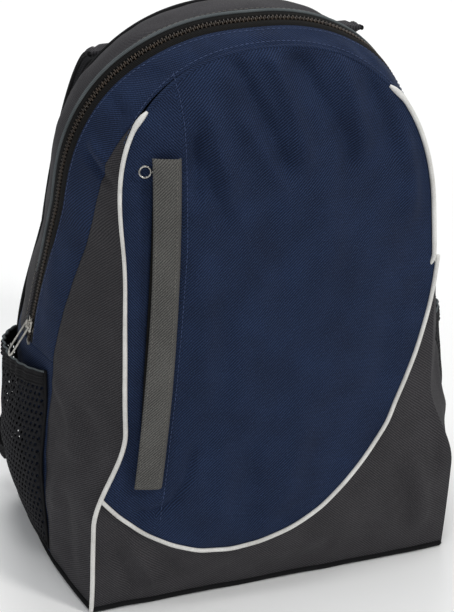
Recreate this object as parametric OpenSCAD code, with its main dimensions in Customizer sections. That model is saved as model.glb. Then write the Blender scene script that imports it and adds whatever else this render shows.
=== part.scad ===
// School backpack with a rounded top, standing on its base.
// +Z is up, the front faces -Y, and the origin is the centre of the base on the ground.
// The walls are sheets of one lofted surface: a front seam, a back seam and a belly line
// between them run from the left base corner over the crown to the right base corner.

/* [Body] */
// Height of the front panel's top seam
front_h = 419; // [400:1:440]
// Height of the belly line at the crown
crown_h = 446; // [430:1:460]
// Height of the back panel's top seam
back_h = 430; // [415:1:445]
// Width of the front panel at the base
front_base_w = 286; // [270:1:300]
// Width of the front panel above its flared base
front_w = 238; // [225:1:250]
// Width of the belly line over the lower half
belly_w = 340; // [330:1:350]
// Width of the belly line at the crown
belly_top_w = 300; // [290:1:310]
// Width of the back panel at the base
back_base_w = 316; // [305:1:325]
// Width of the back panel above the strap anchors
back_w = 248; // [240:1:256]
// Distance from the front seam to the back seam on the ground
base_depth = 164; // [155:1:172]
// How far the front leans back from the base to the crown
front_lean = 68; // [60:1:74]
// How far the middle of the front panel bows out
front_bow = 14; // [8:1:16]
// Thickness of the fabric walls with their lining
wall = 2.4; // [1.8:0.2:3]

/* [Opening] */
// Height of the fold line where the front cover hinges
fold_z = 62; // [56:1:68]
// Height at which the fold meets the main zip
fold_zip_z = 212; // [208:1:218]
// Height of the main zip's lower ends
zip_end_z = 180; // [176:1:184]
// Height of the main slider when the bag is closed
slider_z = 194; // [192:1:196]
// Travel of the main slider, over which each end of the zip is straight
slider_travel = 60; // [40:1:64]

/* [Front pocket] */
// Height of the pocket zip's lower end
pocket_zip_lo_z = 126; // [122:1:140]
// Height of the pocket zip's upper end
pocket_zip_hi_z = 350; // [340:1:354]
// Depth of the pocket behind the front panel
pocket_depth = 26; // [22:1:28]
// Width of the storm flap
flap_w = 19; // [17:1:22]

/* [Side pockets] */
// Height of the side pocket's top edge at the front
side_pocket_front_z = 168; // [160:1:170]
// Height of the side pocket's top edge at the back
side_pocket_back_z = 154; // [146:1:160]
// How far the side pocket stands off the bag at its middle
side_pocket_bulge = 15; // [13:1:17]
// How far its elastic rim stands off the bag
side_pocket_rim = 10; // [9:0.5:11]

/* [Straps] */
// Width of the padded shoulder straps
strap_w = 64; // [58:1:66]
// Thickness of the padded shoulder straps
strap_t = 12; // [10:1:13]
// Width of the strap webbing
webbing_w = 25; // [20:1:26]
// Thickness of the strap webbing
webbing_t = 1.6; // [1.2:0.1:2]
// Width of the grab handle's webbing
handle_w = 20; // [16:1:22]
// Thickness of the back padding
pad_t = 8; // [6:1:9]

/* [Hidden] */

NAVY = "#1d2a44";
CHARCOAL = "#47464a";
BLACK = "#1b1b1d";
WHITE = "#dedcd6";
STEEL = "#b9bbbf";

front_base_y = -66;                          // front seam on the ground
back_base_y = front_base_y + base_depth;     // back seam on the ground
spring_z = 290;                              // height where the straight sides turn into the arch
spring_a = 0.55;                             // share of a seam's run that lies below spring_z
seam_gap = 0.3;                              // clearance where two panels meet
fold_gap = 0.5;                              // clearance across the fold
hinge_y = front_base_y - 8.5;                // fold line, just in front of the bowed panel
fold_zip_y = 45;                             // where the main zip crosses the fold
fold_tilt = atan2(fold_zip_z - fold_z, fold_zip_y - hinge_y);
columns = 51;                                // odd, so that no column falls on the crown's middle
band_steps = 5;                              // steps across one panel of the side band
row_steps = 12;                              // steps across the front and back panels

// ---- General functions ----

function ramp(lo, hi, x) = let(t = max(0, min(1, (x - lo) / (hi - lo)))) t * t * (3 - 2 * t);
function mix(a, b, t) = a * (1 - t) + b * t;
function unit(v) = v / norm(v);
function bezier(p, t) = pow(1 - t, 3) * p[0] + 3 * t * pow(1 - t, 2) * p[1]
    + 3 * t * t * (1 - t) * p[2] + pow(t, 3) * p[3];
function flat_list(grid) = [for (row = grid) each row];

// ---- The bag's lofted surface ----

// Half width and height of a seam line at the share a of its run from the ground to the crown
function seam(a, w_base, w_arch, z_lo, z_hi, h, p) =
    let(phi = 90 * max(0, (a - spring_a) / (1 - spring_a)),
        z = a < spring_a ? spring_z * a / spring_a : spring_z + (h - spring_z) * pow(sin(phi), 2 / p))
    [mix(w_base, w_arch, ramp(z_lo, z_hi, z)) * (a < spring_a ? 1 : pow(cos(phi), 2 / p)), z];

function front_y(z) = front_base_y + front_lean * pow(z / front_h, 1.3);
function belly_y(z) = 22 + 16 * z / crown_h;
function back_y(z) = back_base_y + 8 * sin(180 * min(1, z / 300)) - 33 * ramp(150, 428, z);
function front_shift(z) = 8 * sin(180 * z / front_h);
function rear_shift(z) = -14 * ramp(60, back_h, z);

// Points of the three seam lines. u runs from -1 at the left base corner to 1 at the right one,
// and d is the depth below the outer surface.
function front_edge(u, d) = let(s = seam(1 - abs(u), front_base_w / 2 - d, front_w / 2 - d,
        75, 150, front_h - d, 2.3))
    [sign(u) * s[0] + front_shift(s[1]), front_y(s[1]) + d, s[1]];
function belly_line(u, d) = let(s = seam(1 - abs(u), belly_w / 2 - d, belly_top_w / 2 - d,
        190, 330, crown_h - d, 2.3), x = s[0] + 14 * sin(180 * min(1, s[1] / 300)))
    [sign(u) * x + rear_shift(s[1]), belly_y(s[1]), s[1]];
function back_edge(u, d) = let(s = seam(1 - abs(u), back_base_w / 2 - d, back_w / 2 - d,
        120, 310, back_h - d, 2.2))
    [sign(u) * s[0] + rear_shift(s[1]), back_y(s[1]) - d, s[1]];

// The side band: v runs from 0 at the front seam to 1 at the back seam
function band(u, v, d = 0) = pow(1 - v, 2) * front_edge(u, d) + 2 * v * (1 - v) * belly_line(u, d)
    + v * v * back_edge(u, d);
function band_length(u) = 0.92 * (norm(belly_line(u, 0) - front_edge(u, 0))
    + norm(back_edge(u, 0) - belly_line(u, 0)));

// Where the main zip and the rear edge of the grey side panel run across the band
function zip_v(u) = lookup(1 - abs(u), [[0, 0.64], [0.3, 0.62], [0.55, 0.54], [0.7, 0.43],
    [0.85, 0.34], [1, 0.3]]);
function crescent_v(u) = lookup(1 - abs(u), [[0, 0.42], [0.25, 0.41], [0.33, 0.38], [0.42, 0.33],
    [0.5, 0.28], [0.58, 0.2], [0.66, 0.11], [0.74, 0.03], [1, 0]]);

// Front and back panels: horizontal chords between their two seams, with a bow
function front_bow_at(s, z, half) = front_bow * (1 - s * s) * ramp(0, 60, z)
    * pow(min(1, 2 * half / front_w), 1.5);
function front_row(a, s, d) = let(l = front_edge(a - 1, d), r = front_edge(1 - a, d),
        p = mix(l, r, (s + 1) / 2))
    p - [0, front_bow_at(s, p[2], (r[0] - l[0]) / 2), 0];
function back_row(a, s, d) = mix(back_edge(a - 1, d), back_edge(1 - a, d), (s + 1) / 2);

// Half width of the front panel at a height, and its outer surface at any x and z
function front_half(z) = mix(front_base_w, front_w, ramp(75, 150, z)) / 2
    * pow(1 - pow(max(0, (z - spring_z) / (front_h - spring_z)), 2.3), 1 / 2.3);
function front_point(x, z, d = 0) = let(half = front_half(z), s = (x - front_shift(z)) / half)
    [x, front_y(z) + d - front_bow_at(s, z, half), z];

// Height of the seam between the navy panel and the grey corner panel below it
arc_low = [-38, 45];                         // across and height of the seam's lowest point
arc_left = [150, 226];                       // half axes of its left branch
arc_right = [169.5, 252];                    // half axes of its right branch
function arc_z(x) = let(axes = x < arc_low[0] ? arc_left : arc_right)
    arc_low[1] + axes[1] * (1 - sqrt(1 - pow(min(1, abs(x - arc_low[0]) / axes[0]), 2)));

// ---- General modules ----

// A closed sheet between two grids of points. Rows cross columns gives the side of the first grid.
module sheet(outer, inner) {
    rows = len(outer);
    cols = len(outer[0]);
    n = rows * cols;
    function quad(a, b, c, d) = [[a, b, c], [a, c, d]];
    faces = concat(
        [for (i = [0:rows - 2], j = [0:cols - 2]) let(k = i * cols + j)
            each quad(k, k + 1, k + cols + 1, k + cols)],
        [for (i = [0:rows - 2], j = [0:cols - 2]) let(k = n + i * cols + j)
            each quad(k, k + cols, k + cols + 1, k + 1)],
        [for (i = [0:rows - 2]) let(k = i * cols) each quad(k, k + cols, n + k + cols, n + k)],
        [for (i = [0:rows - 2]) let(k = i * cols + cols - 1) each quad(k, n + k, n + k + cols, k + cols)],
        [for (j = [0:cols - 2]) each quad(j, n + j, n + j + 1, j + 1)],
        [for (j = [0:cols - 2]) let(k = n - cols + j) each quad(k, k + 1, n + k + 1, n + k)]);
    polyhedron(concat(flat_list(outer), flat_list(inner)), faces);
}

// A round cord along a path. side is any direction that the path never follows.
module tube(path, r, side, sides = 8) {
    last = len(path) - 1;
    rings = [for (i = [0:last]) let(t = unit(path[min(last, i + 1)] - path[max(0, i - 1)]),
            x = unit(cross(side, t)), y = cross(t, x))
        [for (k = [0:sides - 1]) path[i] + r * (cos(360 * k / sides) * x + sin(360 * k / sides) * y)]];
    faces = concat(
        [for (i = [0:last - 1], k = [0:sides - 1]) let(a = i * sides + k,
                b = i * sides + (k + 1) % sides)
            each [[a, a + sides, b + sides], [a, b + sides, b]]],
        [[for (k = [0:sides - 1]) k], [for (k = [sides - 1:-1:0]) last * sides + k]]);
    polyhedron(flat_list(rings), faces);
}

// Puts the children in a frame with the given origin and unit axes
module in_frame(origin, x, y, z) {
    multmatrix([[x[0], y[0], z[0], origin[0]], [x[1], y[1], z[1], origin[1]],
        [x[2], y[2], z[2], origin[2]]]) children();
}

half_space = 1000;                           // side of a cube that cuts away a whole side of the bag

module above_fold(gap = fold_gap) {
    intersection() {
        children();
        translate([0, hinge_y, fold_z]) rotate([fold_tilt, 0, 0])
            translate([-half_space / 2, -half_space / 2, gap]) cube(half_space);
    }
}

module below_fold() {
    intersection() {
        children();
        translate([0, hinge_y, fold_z]) rotate([fold_tilt, 0, 0])
            translate([-half_space / 2, -half_space / 2, -half_space]) cube(half_space);
    }
}

// The columns of the side band from u = lo to hi that lie on the shared grid
function band_columns(lo, hi) = [for (i = [0:columns]) let(u = 2 * i / columns - 1)
    if (u >= lo && u <= hi) u];

// One panel of the side band over the given columns, from v_lo(u) to v_hi(u)
module band_panel(us, v_lo, v_hi, steps = band_steps) {
    sheet([for (u = us) [for (j = [0:steps]) band(u, mix(v_lo(u), v_hi(u), j / steps), 0)]],
        [for (u = us) [for (j = [0:steps]) band(u, mix(v_lo(u), v_hi(u), j / steps), wall)]]);
}

// ---- Side band ----

tape_reach = 7.9;                            // from the zip's middle to the edge of the front gusset
tape_reach_rear = 8.8;                       // and of the rear gusset
side_tip_a = 0.74;                           // where the grey side panel ends in a point
zip_end_a = spring_a * zip_end_z / spring_z;
left_all = band_columns(-1, -1 + side_tip_a);
right_all = band_columns(1 - side_tip_a, 1);
left_low = band_columns(-1, -1 + zip_end_a + 0.02);
right_low = band_columns(1 - zip_end_a - 0.02, 1);
zip_columns = band_columns(-1 + zip_end_a - 0.02, 1 - zip_end_a + 0.02);

side_edge = function(u) crescent_v(u) + seam_gap / band_length(u);
side_rim = function(u) max(0.012, crescent_v(u)) - seam_gap / band_length(u);
front_seam = function(u) 0;
back_seam = function(u) 1;
zip_front = function(u) zip_v(u) - tape_reach / band_length(u);
zip_rear = function(u) zip_v(u) + tape_reach_rear / band_length(u);

module side_panel(us) {
    color(CHARCOAL) band_panel(us, front_seam, side_rim, 4);
}

module left_side_panel() above_fold() side_panel(left_all);
module right_side_panel() above_fold() side_panel(right_all);
module left_side_panel_lower() below_fold() side_panel(left_all);
module right_side_panel_lower() below_fold() side_panel(right_all);

module front_gusset() color(NAVY) above_fold() band_panel(zip_columns, side_edge, zip_front);
module rear_gusset() color(CHARCOAL) band_panel(zip_columns, zip_rear, back_seam, 4);

// Below the zip the band is one piece from the side panel to the back seam
module side_rear(side, us, end_columns) {
    color(NAVY) {
        difference() {
            band_panel(us, side_edge, back_seam, 8);
            at_zip_end(side) translate([-tape_reach, -stop_size[1] - 0.5, -tape_reach])
                cube([2 * tape_reach, 30, 2 * tape_reach]);
        }
        below_fold() band_panel(end_columns, side_edge, zip_front, 4);
    }
}

module left_side_rear() side_rear(-1, left_low, band_columns(-1 + zip_end_a + 0.01, -0.5));
module right_side_rear() side_rear(1, right_low, band_columns(0.5, 1 - zip_end_a - 0.01));

// ---- Front and back panels, base ----

rows_a = [for (i = [0:(columns - 1) / 2]) 2 * i / columns];

module front_shell() {
    grid = function(d) [for (j = [0:row_steps]) [for (a = rows_a) front_row(a, 2 * j / row_steps - 1, d)]];
    sheet(grid(0), grid(wall));
}

// Everything above (side = 1) or below (side = -1) the curved seam, seen from the front
module arc_region(side) {
    lo = arc_low[0] - arc_left[0];
    hi = arc_low[0] + arc_right[0];
    // Even steps in angle, so that the steep right end has its share of points
    xs = concat([for (x = [lo:6:arc_low[0] - 1]) x],
        [for (i = [0:32]) arc_low[0] + arc_right[0] * sin(90 * i / 32)]);
    edge = [for (x = xs) [x, arc_z(x) + side * seam_gap / 2]];
    far_z = side > 0 ? crown_h : -wall;
    rotate([90, 0, 0]) linear_extrude(2 * crown_h, center = true)
        polygon(concat(edge, [[front_base_w, arc_z(hi)], [front_base_w, far_z], [lo, far_z]]));
}

module navy_shell() color(NAVY) intersection() {
    front_shell();
    arc_region(1);
}

module grey_shell() color(CHARCOAL) intersection() {
    front_shell();
    arc_region(-1);
}

// The slit in the front panel that the pocket zip is sewn into
zip_slit_w = 14;
module pocket_slit() {
    in_pocket_zip() translate([-zip_slit_w / 2, -pocket_zip_len / 2 - 1, -front_bow])
        cube([zip_slit_w, pocket_zip_len + 2, 2 * front_bow]);
}

module front_panel() above_fold() difference() {
    navy_shell();
    pocket_slit();
}

module front_corner_panel() above_fold() grey_shell();
module front_panel_foot() below_fold() navy_shell();
module front_corner_foot() below_fold() grey_shell();

module back_sheet(a_lo, a_hi, s_lo, s_hi, d_out, d_in, steps = 6) {
    as = [for (i = [0:12]) mix(a_lo, a_hi, i / 12)];
    grid = function(d) [for (a = as) [for (j = [0:steps]) back_row(a, mix(s_lo, s_hi, j / steps), 0)
        - [0, d, 0]]];
    sheet(grid(d_out), grid(d_in));
}

module back_panel() {
    grid = function(d) [for (a = rows_a) [for (j = [0:row_steps / 2]) back_row(a, 4 * j / row_steps - 1, d)]];
    color(BLACK) sheet(grid(0), grid(wall));
}

pad_gap = 0.8;                               // clearance between the back panel and its pads
module back_pads() color(CHARCOAL) {
    for (side = [[-0.78, -0.16], [0.16, 0.78]])
        back_sheet(0.2, 0.64, side[0], side[1], -pad_t, -pad_gap);
    back_sheet(0.03, 0.17, -0.78, 0.78, -pad_t, -pad_gap);
}

function base_outline(d) = concat(
    [for (j = [0:8]) let(p = band(-1, j / 8, d)) [p[0], p[1]]],
    [for (j = [8:-1:0]) let(p = band(1, j / 8, d)) [p[0], p[1]]]);

base_t = 1.6;
board_t = 2;
module base_panel() color(BLACK) linear_extrude(base_t) polygon(base_outline(wall + seam_gap));
module base_board() color(BLACK) translate([0, 0, base_t + seam_gap]) linear_extrude(board_t)
    polygon(base_outline(wall + board_t));

// ---- White piping ----

piping_r = 1.7;
piping_off = 2.1;                            // from the seam line out to the piping's middle
piping_tip_a = 0.755;
piping_us = [for (i = [0:22]) -1 + piping_tip_a * i / 22];

module edge_piping(side) color(WHITE)
    tube([for (u = piping_us) front_edge(-side * u, -piping_off)], piping_r, [0, 1, 0]);

module left_piping() above_fold() edge_piping(-1);
module right_piping() above_fold() edge_piping(1);
module left_piping_lower() below_fold() edge_piping(-1);
module right_piping_lower() below_fold() edge_piping(1);

arc_piping_reach = [92, 162];                // each way from the lowest point, short of the edges' piping
module whole_arc_piping() {
    xs = concat([for (i = [10:-1:1]) arc_low[0] - arc_piping_reach[0] * sin(9 * i)],
        [for (i = [0:24]) arc_low[0] + arc_piping_reach[1] * sin(90 * i / 24)]);
    color(WHITE) tube([for (x = xs) front_point(x, arc_z(x), -piping_r - 0.5)], piping_r, [0, 1, 0]);
}

piping_fold_gap = 3.4;                       // wider, because the piping stands in front of the fold's axis
module arc_piping() above_fold(piping_fold_gap) whole_arc_piping();
module arc_piping_lower() below_fold() whole_arc_piping();

// ---- Main zip ----

coil_in = 0.7;                               // from the zip's middle to a coil half
coil_out = 2.7;
coil_half_t = 0.9;                           // half thickness of the coil
tape_in = 2.9;
tape_out = 6.5;
tape_half_t = 0.4;
run_out = 21;                                // straight zip above the slider's highest place
straight_a = spring_a * (slider_z + slider_travel + run_out) / spring_z;
arch_steps = 13;
zip_us = concat([-1 + zip_end_a], [for (i = [0:2 * arch_steps]) (1 - straight_a) * (i / arch_steps - 1)],
    [1 - zip_end_a]);

function zip_on_band(u, d = 0) = band(u, zip_v(u), d);
function zip_share(u) = (1 - abs(u) - zip_end_a) / (straight_a - zip_end_a);
function zip_centre(u) = let(t = zip_share(u), s = sign(u))
    t < 1 ? mix(zip_on_band(s * (1 - zip_end_a)), zip_on_band(s * (1 - straight_a)), t) : zip_on_band(u);
function zip_tangent(u) = let(s = sign(u)) zip_share(u) < 1
    ? unit(zip_on_band(s * (1 - straight_a)) - zip_on_band(s * (1 - zip_end_a))) * -s
    : unit(zip_on_band(u + 0.01) - zip_on_band(u - 0.01));
function zip_normal(u) = let(v = zip_share(u) < 1 ? sign(u) * (1 - (zip_end_a + straight_a) / 2) : u,
        t = zip_tangent(u), n = zip_on_band(v, -4) - zip_on_band(v, 4))
    unit(n - t * (n * t));
function zip_point(u, off, d) = zip_centre(u) + off * cross(zip_normal(u), zip_tangent(u))
    - d * zip_normal(u);

// A strip along the whole zip, between two distances from its middle
module zip_strip(off_lo, off_hi, half_t) {
    grid = function(d) [for (u = zip_us) [zip_point(u, off_lo, d), zip_point(u, off_hi, d)]];
    sheet(grid(-half_t), grid(half_t));
}

// Frame of the left end of the zip at a height: x across, y up along the zip, z out of the bag
left_up = zip_tangent(-1 + zip_end_a);
left_out = zip_normal(-1 + zip_end_a);
function left_zip_at(z) = let(p = zip_centre(-1 + zip_end_a)) p + left_up * (z - p[2]) / left_up[2];
module in_left_zip(z) in_frame(left_zip_at(z), cross(left_up, left_out), left_up, left_out) children();

module zip_coil_front() color(BLACK) above_fold() zip_strip(-coil_out, -coil_in, coil_half_t);
module zip_tape_front() color(BLACK) above_fold() zip_strip(-tape_out, -tape_in, tape_half_t);

module zip_coil_rear() color(BLACK) {
    zip_strip(coil_in, coil_out, coil_half_t);
    below_fold() zip_strip(-coil_out, -coil_in, coil_half_t);
}

module zip_tape_rear() color(BLACK) {
    zip_strip(tape_in, tape_out, tape_half_t);
    below_fold() zip_strip(-tape_out, -tape_in, tape_half_t);
}

// Frame of either end of the zip: y up along the zip, z out of the bag
module at_zip_end(side) {
    u = side * (1 - zip_end_a);
    up = -side * zip_tangent(u);
    in_frame(zip_centre(u), cross(up, zip_normal(u)), up, zip_normal(u)) children();
}

stop_size = [6.8, 2.4, 2.6];
module zip_stops() color(STEEL)
    for (side = [-1, 1])
        at_zip_end(side) translate([-stop_size[0] / 2, -stop_size[1] - 0.2, -stop_size[2] / 2])
            cube(stop_size);

// ---- Sliders and pulls: x across the zip, y along it, z out of the bag ----

slider_w = 8;
slider_len = 10;
plate_t = 0.8;
plate_z = 1.4;                               // inner face of each plate
eye_z = 2.9;                                 // middle of the eye that the pull hangs in
eye_half = 2;
pin_r = 0.5;
pull_wire_r = 0.8;
pull_half_w = 5;
pull_len = 26;
pull_rest_tilt = 19;                         // the main pull rests on the side pocket's rim
ring_r = 4;
ring_x = 14;                                 // from the slider's middle to the middle of the ring

module slider_body() {
    for (s = [-1, 1]) {
        translate([-slider_w / 2, -slider_len / 2, s > 0 ? plate_z : -plate_z - plate_t])
            cube([slider_w, slider_len, plate_t]);
        for (side = [-1, 1])
            translate([side * (slider_w / 2 - 0.35) - 0.35, -slider_len / 2, s > 0 ? 0.8 : -plate_z])
                cube([0.7, slider_len, 0.6]);
        translate([-0.8, s * (eye_half + 0.6) - 0.6, plate_z + plate_t]) cube([1.6, 1.2, 1.4]);
    }
    translate([-0.8, -eye_half - 1.2, 3.6]) cube([1.6, 2 * eye_half + 2.4, plate_t]);
    translate([-0.35, slider_len / 2 - 2, -plate_z - 0.2]) cube([0.7, 2, 2 * plate_z + 0.4]);
}

module wire_pull() {
    rotate([0, 90, 0]) cylinder(r = pin_r, h = 2 * pull_half_w, center = true, $fn = 32);
    for (s = [-1, 1])
        translate([s * pull_half_w, 0.6, 0]) rotate([90, 0, 0])
            cylinder(r = pull_wire_r, h = pull_len + 0.6, $fn = 32);
    translate([0, -pull_len, 0]) rotate([0, 0, 180])
        rotate_extrude(angle = 180, $fn = 48) translate([pull_half_w, 0]) circle(pull_wire_r, $fn = 32);
}

module ring_pull() {
    translate([1.8, 0, 0]) rotate([0, -90, 0]) cylinder(r = pin_r, h = ring_x - ring_r + 1.8, $fn = 32);
    translate([1.8, 0, 0]) rotate([0, 90, 0]) cylinder(r = 0.65, h = 0.6, $fn = 32);
    translate([-ring_x, 0, 0]) rotate_extrude($fn = 48)
        translate([ring_r, 0]) circle(pin_r + 0.15, $fn = 32);
}

module main_slider() color(STEEL) in_left_zip(slider_z) slider_body();
module main_pull() color(STEEL) in_left_zip(slider_z) translate([0, 0, eye_z])
    rotate([-pull_rest_tilt, 0, 0]) wire_pull();

// ---- Front pocket ----

pocket_lo = front_point(-97, pocket_zip_lo_z);
pocket_hi = front_point(-77.5, pocket_zip_hi_z);
pocket_zip_len = norm(pocket_hi - pocket_lo);
pocket_up = unit(pocket_hi - pocket_lo);
pocket_mid_z = (pocket_zip_lo_z + pocket_zip_hi_z) / 2;
pocket_across_raw = front_point(-82, pocket_mid_z) - front_point(-94, pocket_mid_z);
pocket_across = unit(pocket_across_raw - pocket_up * (pocket_across_raw * pocket_up));
pocket_out = cross(pocket_across, pocket_up);
pocket_centre = (pocket_lo + pocket_hi) / 2 + 1.5 * pocket_out;
module in_pocket_zip() in_frame(pocket_centre, pocket_across, pocket_up, pocket_out) children();

// Strips on both sides of the pocket zip's middle
module pocket_strips(x_in, x_out, half_t) {
    in_pocket_zip() for (s = [-1, 1])
        translate([s > 0 ? x_in : -x_out, -pocket_zip_len / 2, -half_t])
            cube([x_out - x_in, pocket_zip_len, 2 * half_t]);
}

module pocket_zip_coil() color(BLACK) pocket_strips(coil_in, coil_out, coil_half_t);
module pocket_zip_tape() color(BLACK) pocket_strips(tape_in, tape_out, tape_half_t);

module pocket_lining() {
    lining_half = 0.92;                      // share of the panel's width
    lining_gap = 1.2;
    z_lo = pocket_zip_lo_z - 8;
    z_hi = pocket_zip_hi_z + 12;
    grid = function(t) [for (i = [0:14]) let(s = i / 7 - 1)
        [for (j = [0:14]) let(h = j / 7 - 1, z = mix(z_lo, z_hi, j / 14),
                depth = pocket_depth * (1 - pow(s, 4)) * (1 - pow(h, 4)))
            front_point(front_shift(z) + s * lining_half * front_half(z), z, wall + lining_gap + depth + t)]];
    color(BLACK) above_fold() sheet(grid(0), grid(1.2));
}

pocket_slider_y = pocket_zip_len / 2 - slider_len / 2 - 1;
module pocket_slider() color(STEEL) in_pocket_zip() translate([0, pocket_slider_y, 0]) slider_body();
module pocket_pull() color(STEEL) in_pocket_zip() translate([0, pocket_slider_y, eye_z]) ring_pull();

flap_z = 5;                                  // underside of the flap above the zip's middle plane
flap_t = 1.4;
flap_hinge = [flap_w / 2 + 2, 2.1];          // sewn edge, across and out
flap_over = [20, 4];                         // how far the flap runs past the zip, down and up
module storm_flap() color(CHARCOAL) in_pocket_zip()
    translate([0, pocket_zip_len / 2 + flap_over[1], 0]) rotate([90, 0, 0]) {
        h = pocket_zip_len + flap_over[0] + flap_over[1];
        linear_extrude(h) polygon([[-flap_w / 2, flap_z], [flap_hinge[0] - 2, flap_z],
            [flap_hinge[0] - 0.7, flap_hinge[1]], [flap_hinge[0] + 0.7, flap_hinge[1]],
            [flap_hinge[0] - 1, flap_z + flap_t], [-flap_w / 2, flap_z + flap_t]]);
        translate(flap_hinge) cylinder(r = 0.9, h = h, $fn = 32);
    }

// ---- Side pockets ----

side_pocket_v = 0.985;                       // rear edge of the pocket across the side band
function pocket_top_a(v, v0) = spring_a / spring_z
    * mix(side_pocket_front_z, side_pocket_back_z, (v - v0) / (1 - v0));
function side_bulge(v, v0, h) = let(w = sin(180 * pow((v - v0) / (side_pocket_v - v0), 0.9)))
    0.4 + pow(max(0, w), 0.8) * mix(side_pocket_bulge * pow(sin(90 * min(1, 2.2 * h)), 0.7), side_pocket_rim,
        ramp(0.5, 1, h));

elastic_share = 0.93;                        // share of the pocket's height below its elastic rim
// Part of the side pocket on one side, between two shares of its height
module side_pocket_sheet(side, h_lo, h_hi, rows, t) {
    grid = function(d) [for (i = [0:rows]) let(h = mix(h_lo, h_hi, i / rows))
        [for (j = [0:8]) let(v0 = crescent_v(0.9) + 0.015, v = mix(v0, side_pocket_v, j / 8),
                a = mix(0.015, pocket_top_a(v, v0), h))
            band(side * (1 - a), v, d - side_bulge(v, v0, h))]];
    if (side < 0) sheet(grid(-t), grid(0));
    else sheet(grid(0), grid(-t));
}

mesh_t = 1.2;
elastic_t = 2.2;
module side_mesh(side) color(BLACK) side_pocket_sheet(side, 0, elastic_share - 0.005, 8, mesh_t);
module side_elastic(side) color(BLACK) side_pocket_sheet(side, elastic_share, 1, 1, elastic_t);
module left_mesh_pocket() side_mesh(-1);
module right_mesh_pocket() side_mesh(1);
module left_pocket_elastic() side_elastic(-1);
module right_pocket_elastic() side_elastic(1);

// ---- Shoulder straps: the right one, mirrored for the left ----

strap_path = [[73, 82, 390], [72, 125, 385], [95, 174, 250], [122, 134, 140]];
strap_end_w = 34;
strap_down = unit(strap_path[3] - strap_path[2]);
strap_across = unit([1, 0, 0] - strap_down * strap_down[0]);
lock_origin = strap_path[3] + 5 * strap_down;
module in_lock() in_frame(lock_origin, -strap_across, -strap_down, cross(strap_across, strap_down)) children();
function lock_point(y, z) = lock_origin - y * strap_down + z * cross(strap_across, strap_down);
module on_side(side) {
    if (side > 0) children();
    else mirror([1, 0, 0]) children();
}

// A band along a path, w(t) wide and t thick, between two directions across its ends
module strap_band(path, across_a, across_b, w_a, w_b, thick, steps, cols) {
    slope = function(t) unit(bezier(path, t + 0.01) - bezier(path, t - 0.01));
    across = function(t) let(c = mix(across_a, across_b, t), s = slope(t)) unit(c - s * (c * s));
    grid = function(d) [for (i = [0:steps]) let(t = i / steps, x = across(t), n = cross(x, slope(t)),
            w = mix(w_a, w_b, t * t))
        [for (j = [0:cols]) bezier(path, t) + w * (j / cols - 0.5) * x + d * n]];
    sheet(grid(-thick / 2), grid(thick / 2));
}

module shoulder_strap(side) color(CHARCOAL) on_side(side)
    strap_band(strap_path, [1, 0, 0], [1, 0, 0], strap_w, strap_end_w, strap_t, 16, 2);
module left_shoulder_strap() shoulder_strap(-1);
module right_shoulder_strap() shoulder_strap(1);

tab_in = 4;                                  // the anchor tab's sewn edge and its tip, measured
tab_out = 14;                                // out from the back seam
tab_dir = unit([0.9, 0.2, 0]);
tab_origin = [back_base_w / 2, back_base_y + 2, 0];
tab_z = 32;
webbing_path = [tab_origin + tab_dir * (tab_out + 2) + [0, 0, tab_z], [190, 112, 50],
    lock_point(-50, -1.2), lock_point(-25.5, -1.2)];

module lower_webbing(side) color(BLACK) on_side(side)
    strap_band(webbing_path, [0, -0.3, 1], strap_across, webbing_w - 6, webbing_w, webbing_t, 14, 1);
module left_lower_webbing() lower_webbing(-1);
module right_lower_webbing() lower_webbing(1);

module anchor_tab(side) color(CHARCOAL) on_side(side)
    in_frame(tab_origin, tab_dir, [0, 0, 1], cross(tab_dir, [0, 0, 1]))
        linear_extrude(3, center = true)
            polygon([[tab_in, tab_z - 18], [tab_in, tab_z + 18], [tab_out, tab_z + 10], [tab_out, tab_z - 10]]);
module left_anchor_tab() anchor_tab(-1);
module right_anchor_tab() anchor_tab(1);

lock_w = 33;
lock_bar_r = 1.6;
lock_t = 3;
arm_w = 3.2;
lock_len = 24;
module ladder_lock(side) color(BLACK) on_side(side) in_lock() {
    rotate([0, 90, 0]) cylinder(r = lock_bar_r, h = lock_w, center = true, $fn = 48);
    for (s = [-1, 1])
        translate([s * (lock_w - arm_w) / 2 - arm_w / 2, -lock_len, -lock_t / 2])
            cube([arm_w, lock_len, lock_t]);
    for (y = [-12.5, -lock_len]) translate([-lock_w / 2, y, -lock_t / 2]) cube([lock_w, arm_w, lock_t]);
}
module left_ladder_lock() ladder_lock(-1);
module right_ladder_lock() ladder_lock(1);

loop_r = [2, 3.4];                           // inside and outside of the loop round the lock's bar
module lock_loop(side) color(BLACK) on_side(side) in_lock() {
    rotate([0, 90, 0]) difference() {
        cylinder(r = loop_r[1], h = webbing_w - 1, center = true, $fn = 48);
        cylinder(r = loop_r[0], h = webbing_w + 1, center = true, $fn = 48);
    }
    translate([-webbing_w / 2 + 0.5, 3, -1.2]) cube([webbing_w - 1, 1.7, 2.4]);
}
module left_lock_loop() lock_loop(-1);
module right_lock_loop() lock_loop(1);

tail_top = lock_point(-22.4, 3.4);
tail_len = 90;
module webbing_tail(side) color(BLACK) on_side(side) translate(tail_top) {
    rotate([0, 90, 0]) cylinder(r = 1.1, h = webbing_w, center = true, $fn = 32);
    translate([-webbing_w / 2, -webbing_t / 2, -tail_len]) cube([webbing_w, webbing_t, tail_len]);
}
module left_webbing_tail() webbing_tail(-1);
module right_webbing_tail() webbing_tail(1);

// ---- Yoke and grab handle ----

module strap_yoke() color(BLACK) back_sheet(0.77, 0.9, -0.85, 0.85, -4.5, -seam_gap, 8);

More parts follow.
